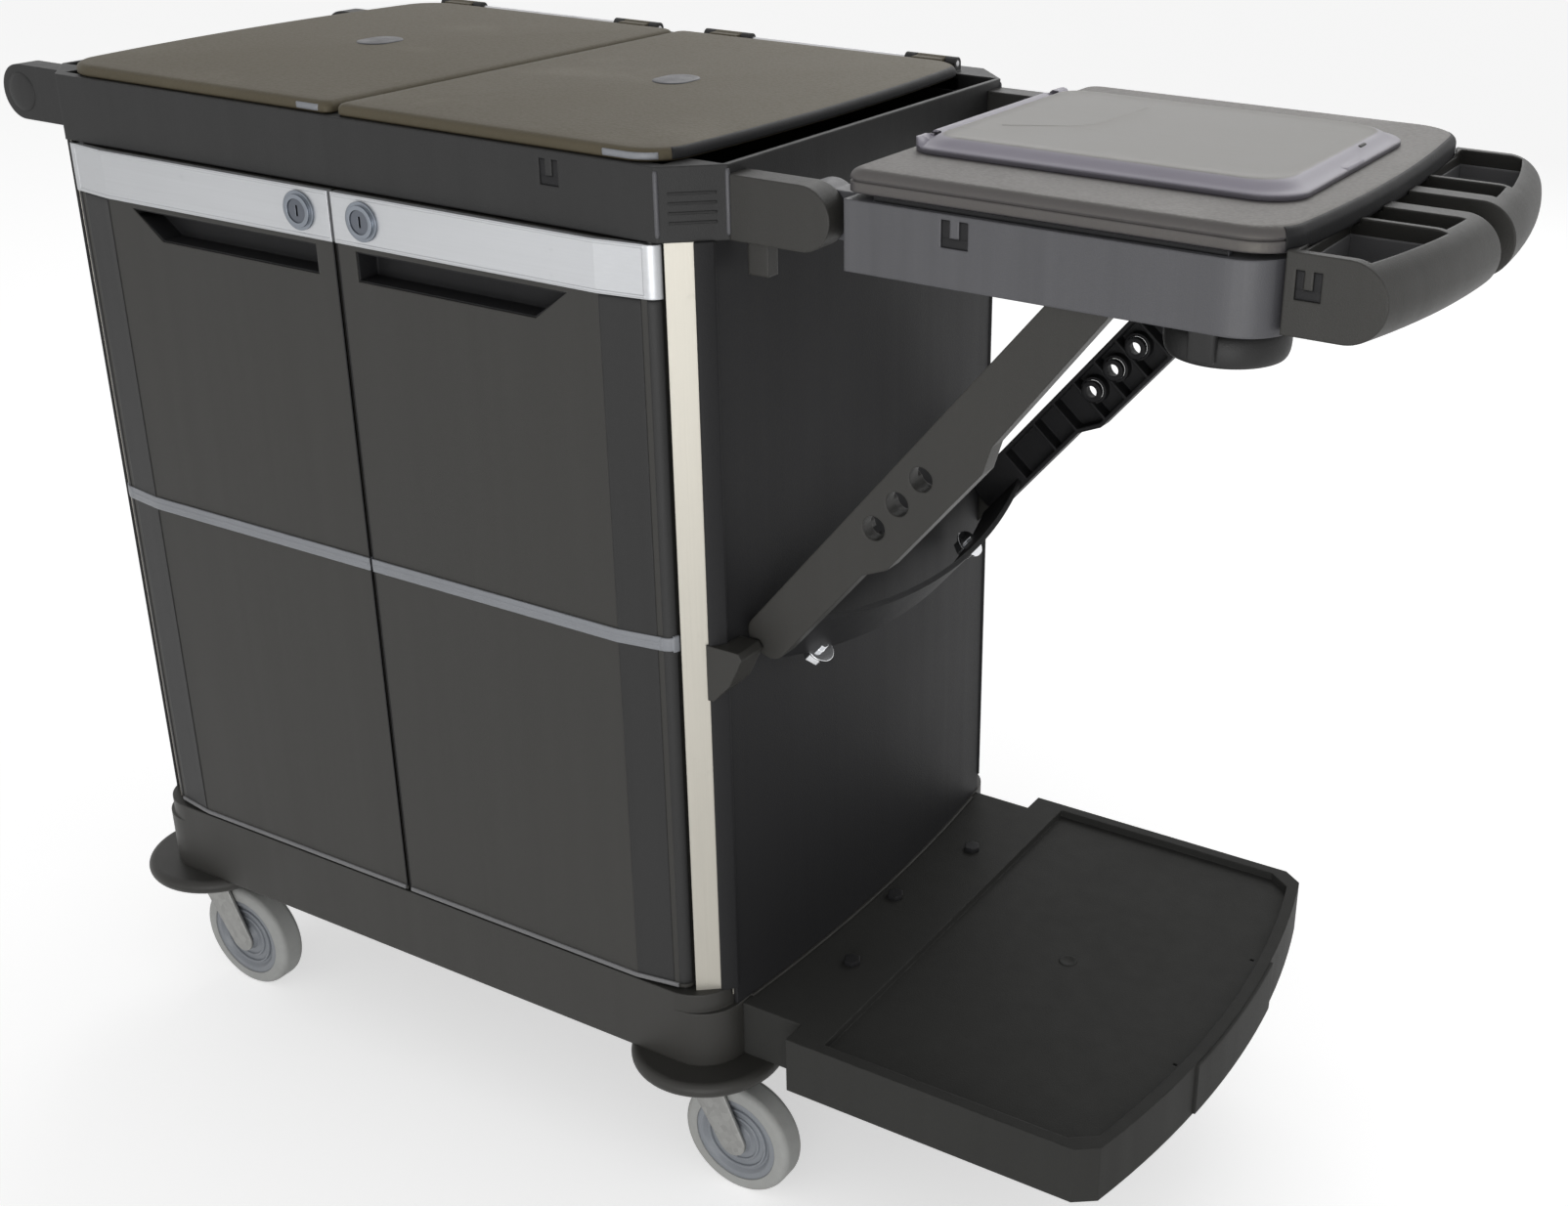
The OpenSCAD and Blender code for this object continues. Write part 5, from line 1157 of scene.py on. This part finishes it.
class CART_OT_caster_fittings(bpy.types.Operator):
    """Rings on the hubs, broad tapered forks and bearing races on each caster"""

    bl_idname = "cart.caster_fittings"
    bl_label = "Caster fittings"

    rings = ((0.0235, 0.0035, 0.0022), (0.0325, 0.0030, 0.0026))
    ring_in, ring_foot, ring_bevel = 0.0055, -0.001, 0.0004
    crown_radius, crown_height, crown_bevel = 0.026, 0.015, 0.0015
    pin_bore, axle_radius, axle_out = 0.00605, 0.005, 0.003
    arm_top, arm_foot, arm_thick, arm_gap, arm_bevel = 0.0200, 0.0155, 0.004, 0.001, 0.0012
    race = [
        (0.0070, -0.0012), (0.0245, -0.0012), (0.0262, -0.0045), (0.0262, -0.0075), (0.0250, -0.0095),
        (0.0235, -0.0100), (0.0235, -0.004), (0.0070, -0.004), (0.0070, -0.0012),
    ]

    def hub_rings(self, centre, half):
        """Two raised rings on each face of a hub."""
        foot, bevel, shells = self.ring_foot, self.ring_bevel, []
        for sign in (-1, 1):
            place = centre + ALONG_Y * sign * (half - self.ring_in)
            for r, wide, tall in self.rings:
                rise = [(r + bevel, tall * 0.7), (r + wide / 2, tall), (r + wide - bevel, tall * 0.7)]
                ring = [(r, foot), *rise, (r + wide, foot), (r, foot)]
                shells.append(lathe(ring, place, ALONG_Y * sign, 48))
        return shells

    def fork(self, crown, axle, hub_half):
        """Two arms, plates of the tangent outline of a large and a small circle, a crown ring and an axle."""
        start = (crown[0] + 0.004, crown[2] - self.arm_top - 0.0005)
        path = capsule(start, (axle[0], axle[2]), self.arm_top, self.arm_foot, 14)
        inside, bevel = hub_half + self.arm_gap, self.arm_bevel
        face = inside + self.arm_thick
        profile = [(bevel, inside), (0.0, inside + bevel), (0.0, face - bevel)]
        rows, *closing = plate(path, profile + [(bevel * 0.3, face - bevel * 0.3), (bevel, face)], rings=4)
        arms = [rows[..., (0, 2, 1)] * (1, sign, 1) + ALONG_Y * axle[1] for sign in (-1, 1)]
        ring = collar(self.pin_bore, self.crown_radius, -self.crown_height, 0.0, self.crown_bevel)
        end = inside + self.axle_out
        rod = [(0.0, -end), (self.axle_radius, -end), (self.axle_radius, end), (0.0, end)]
        shells = [(arm, *closing) for arm in arms]
        return shells + [lathe(ring, crown, ALONG_Z, 48), lathe(rod, axle, ALONG_Y, 24)]

    def execute(self, context):
        for place in CORNERS:
            low, high = box_of("hub_" + place)
            centre, half = (low + high) / 2, (high[1] - low[1]) / 2
            add_piece(f"hub_rings_{place}", self.hub_rings(centre, half), "wheel_plastic", "wheel_" + place)
            low, high = box_of("fork_" + place)
            crown = np.array((low[0] + self.crown_radius, centre[1], high[2]))
            shells = self.fork(crown, centre, half)
            fork = add_piece(f"fork_arms_{place}", shells, "zinc_steel", "swivel_" + place)
            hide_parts("fork_" + place)
            race = lathe(self.race, crown, ALONG_Z, 48)
            add_piece(f"bearing_race_{place}", [race], "steel", "swivel_" + place)
        return {"FINISHED"}


class CART_OT_platform_fittings(bpy.types.Operator):
    """Round moulding mark and bowed end pad of the platform"""

    bl_idname = "cart.platform_fittings"
    bl_label = "Platform fittings"

    mark = [
        (0.0, 0.0004), (0.006, 0.0004), (0.0075, 0.0009), (0.0090, 0.0008), (0.0100, -0.0004), (0.0, -0.0004),
    ]
    mark_along, rim = 0.56, 0.008
    radius, pad_half, pad_thick, pad_out = 1.0275, 0.096, 0.0050, 0.0006

    def execute(self, context):
        low, high = box_of("lower_platform")
        place = (low[0] + (high[0] - low[0]) * self.mark_along, 0.0, high[2] - self.rim)
        a = np.linspace(-1, 1, 25) * self.pad_half / self.radius
        x = high[0] - self.radius + (self.radius + self.pad_out) * np.cos(a)
        arc = level(x, self.radius * np.sin(a), (low[2] + high[2]) / 2)
        pad = tube(arc, self.pad_thick, high[2] - low[2] - 0.002, 12.0, 32)
        shells = [lathe(self.mark, place, ALONG_Z, 40), pad]
        add_piece("platform_mark_and_pad", shells, "black_plastic", "cabinet", finish="platform")
        return {"FINISHED"}


# ---------------- studio


class CART_OT_studio(bpy.types.Operator):
    """Pale floor, soft light and the camera"""

    bl_idname = "cart.studio"
    bl_label = "Studio"

    camera_place = (1.0889, -1.5270, 1.3969)
    azimuth, elevation, roll = 28.83, 25.03, 1.23
    lens, sensor, shift, clip = 45.25, 36.0, (-0.1097, 0.0019), (0.05, 60.0)
    floor_rings, floor_around = (0.0, 2.0, 6.0, 14.0), 96
    lights = {
        "key": ((1.5, -3.1, 0.6), (0.0, 0.0, 0.3), (2.4, 1.0)),
        "fill": ((-1.6, -3.3, 0.5), (0.2, 0.0, 0.4), (1.6, 0.9)),
        "back": ((-0.4, 3.2, 3.0), (0.0, 0.0, 0.9), (3.4, 1.8)),
        "side": ((2.6, 1.9, 1.3), (0.4, 0.1, 0.6), (1.2, 1.6)),
    }

    def shown_white(self, graph, seen, unseen):
        """A shader that is white to the camera and in reflections, and another to every other ray."""
        rays = ("Is Camera Ray", "Is Glossy Ray", "Is Transmission Ray")
        camera, glossy, through = (graph.add("ShaderNodeLightPath", {}, {}, ray) for ray in rays)
        settings = {"operation": "ADD", "use_clamp": True}
        share = graph.add("ShaderNodeMath", settings, [camera + glossy, through])
        return graph.add("ShaderNodeMixShader", {}, [share, unseen, seen])

    def add_room(self, scene, set_up):
        """World that is white in view and gives an even light."""
        scene.world = bpy.data.worlds.new("studio_room")
        g = Graph(scene.world)
        seen = g.add("ShaderNodeBackground", {}, [WHITE, 1.0])
        room = g.add("ShaderNodeBackground", {}, [WHITE, set_up.ambient])
        g.add("ShaderNodeOutputWorld", {}, [self.shown_white(g, seen, room)])

    def add_floor(self, scene, set_up):
        """Flat disc under the cart, whitened in view."""
        around = self.floor_around
        a = np.linspace(0, 2 * np.pi, around, endpoint=False)
        radius = np.array(self.floor_rings)[:, None]
        disc = level(radius * np.cos(a), radius * np.sin(a), 0.0)
        mesh = bpy.data.meshes.new("studio_floor")
        quads = grid_quads(len(radius), around, False, True)
        mesh.from_pydata(disc.reshape(-1, 3).tolist(), [], quads.tolist())
        floor = bpy.data.objects.new("studio_floor", mesh)
        scene.collection.objects.link(floor)
        g = finish_graph("pale_floor")
        colour = g.mix(g.noise(3.0, 4.0) * 0.2, tint(set_up.floor, 1.0), tint(set_up.floor, 1.05))
        matt = g.add("ShaderNodeBsdfDiffuse", {}, [colour])
        glow = g.add("ShaderNodeEmission", {}, [WHITE, set_up.glow])
        lit = g.add("ShaderNodeAddShader", {}, [matt, glow])
        g.add("ShaderNodeOutputMaterial", {}, [self.shown_white(g, lit, matt)])
        mesh.materials.append(g.owner)

    def add_light(self, scene, name, power):
        """Area light at its place, turned to its target."""
        place, target, size = self.lights[name]
        lamp = bpy.data.lights.new(name + "_light", "AREA")
        lamp.shape = "RECTANGLE"
        lamp.size, lamp.size_y = size
        lamp.energy = power
        light = bpy.data.objects.new(name + "_light", lamp)
        aim = (Vector(target) - Vector(place)).to_track_quat("-Z", "Y").to_matrix().to_4x4()
        light.matrix_world = Matrix.Translation(place) @ aim
        scene.collection.objects.link(light)

    def add_camera(self, scene):
        """Camera at its place, turned by azimuth and elevation and then rolled about its view."""
        camera = bpy.data.cameras.new("camera")
        camera.sensor_fit = "HORIZONTAL"
        camera.sensor_width, camera.lens = self.sensor, self.lens
        camera.shift_x, camera.shift_y = self.shift
        camera.clip_start, camera.clip_end = self.clip
        az, el, roll = np.radians((self.azimuth, self.elevation, self.roll))
        back = np.array((np.sin(az) * np.cos(el), -np.cos(az) * np.cos(el), np.sin(el)))
        right = np.array((np.cos(az), np.sin(az), 0.0))
        up = np.cross(back, right)
        right, up = right * np.cos(roll) + up * np.sin(roll), up * np.cos(roll) - right * np.sin(roll)
        eye = bpy.data.objects.new("camera", camera)
        turn = Matrix(np.stack([right, up, back], -1).tolist()).to_4x4()
        eye.matrix_world = Matrix.Translation(self.camera_place) @ turn
        scene.collection.objects.link(eye)
        scene.camera = eye

    def execute(self, context):
        scene = context.scene
        set_up = scene.cart_studio
        self.add_room(scene, set_up)
        self.add_floor(scene, set_up)
        for name in self.lights:
            self.add_light(scene, name, getattr(set_up, name))
        self.add_camera(scene)
        scene.view_settings.view_transform = "Standard"
        return {"FINISHED"}


# ---------------- add-on


OPERATORS = (
    CART_OT_finishes,
    CART_OT_deck_lids,
    CART_OT_bag_lid,
    CART_OT_smoky_cover,
    CART_OT_hook_ring,
    CART_OT_clip_inlays,
    CART_OT_tray_liners,
    CART_OT_door_fittings,
    CART_OT_deck_ribs,
    CART_OT_panel_trims,
    CART_OT_hinge_fittings,
    CART_OT_caster_fittings,
    CART_OT_platform_fittings,
    CART_OT_studio,
)
GROUPS = {"cart_finishes": CartFinishes, "cart_fittings": CartFittings, "cart_studio": CartStudio}


class CART_PT_sidebar(bpy.types.Panel):
    """Sizes, colours and steps of the cart"""

    bl_idname = "CART_PT_sidebar"
    bl_label = "Janitor cart"
    bl_space_type = "VIEW_3D"
    bl_region_type = "UI"
    bl_category = "Cart"

    def draw(self, context):
        for operator in OPERATORS:
            self.layout.operator(operator.bl_idname)
        for holder, group in GROUPS.items():
            box = self.layout.box()
            for name in group.__annotations__:
                box.prop(getattr(context.scene, holder), name)


CLASSES = (*GROUPS.values(), *OPERATORS, CART_PT_sidebar)


def register():
    for part in CLASSES:
        bpy.utils.register_class(part)
    for holder, group in GROUPS.items():
        setattr(bpy.types.Scene, holder, PointerProperty(type=group))


def unregister():
    for holder in GROUPS:
        delattr(bpy.types.Scene, holder)
    for part in reversed(CLASSES):
        bpy.utils.unregister_class(part)


def main():
    register()
    for operator in OPERATORS:
        group, name = operator.bl_idname.split(".")
        getattr(getattr(bpy.ops, group), name)()


if __name__ == "__main__":
    main()
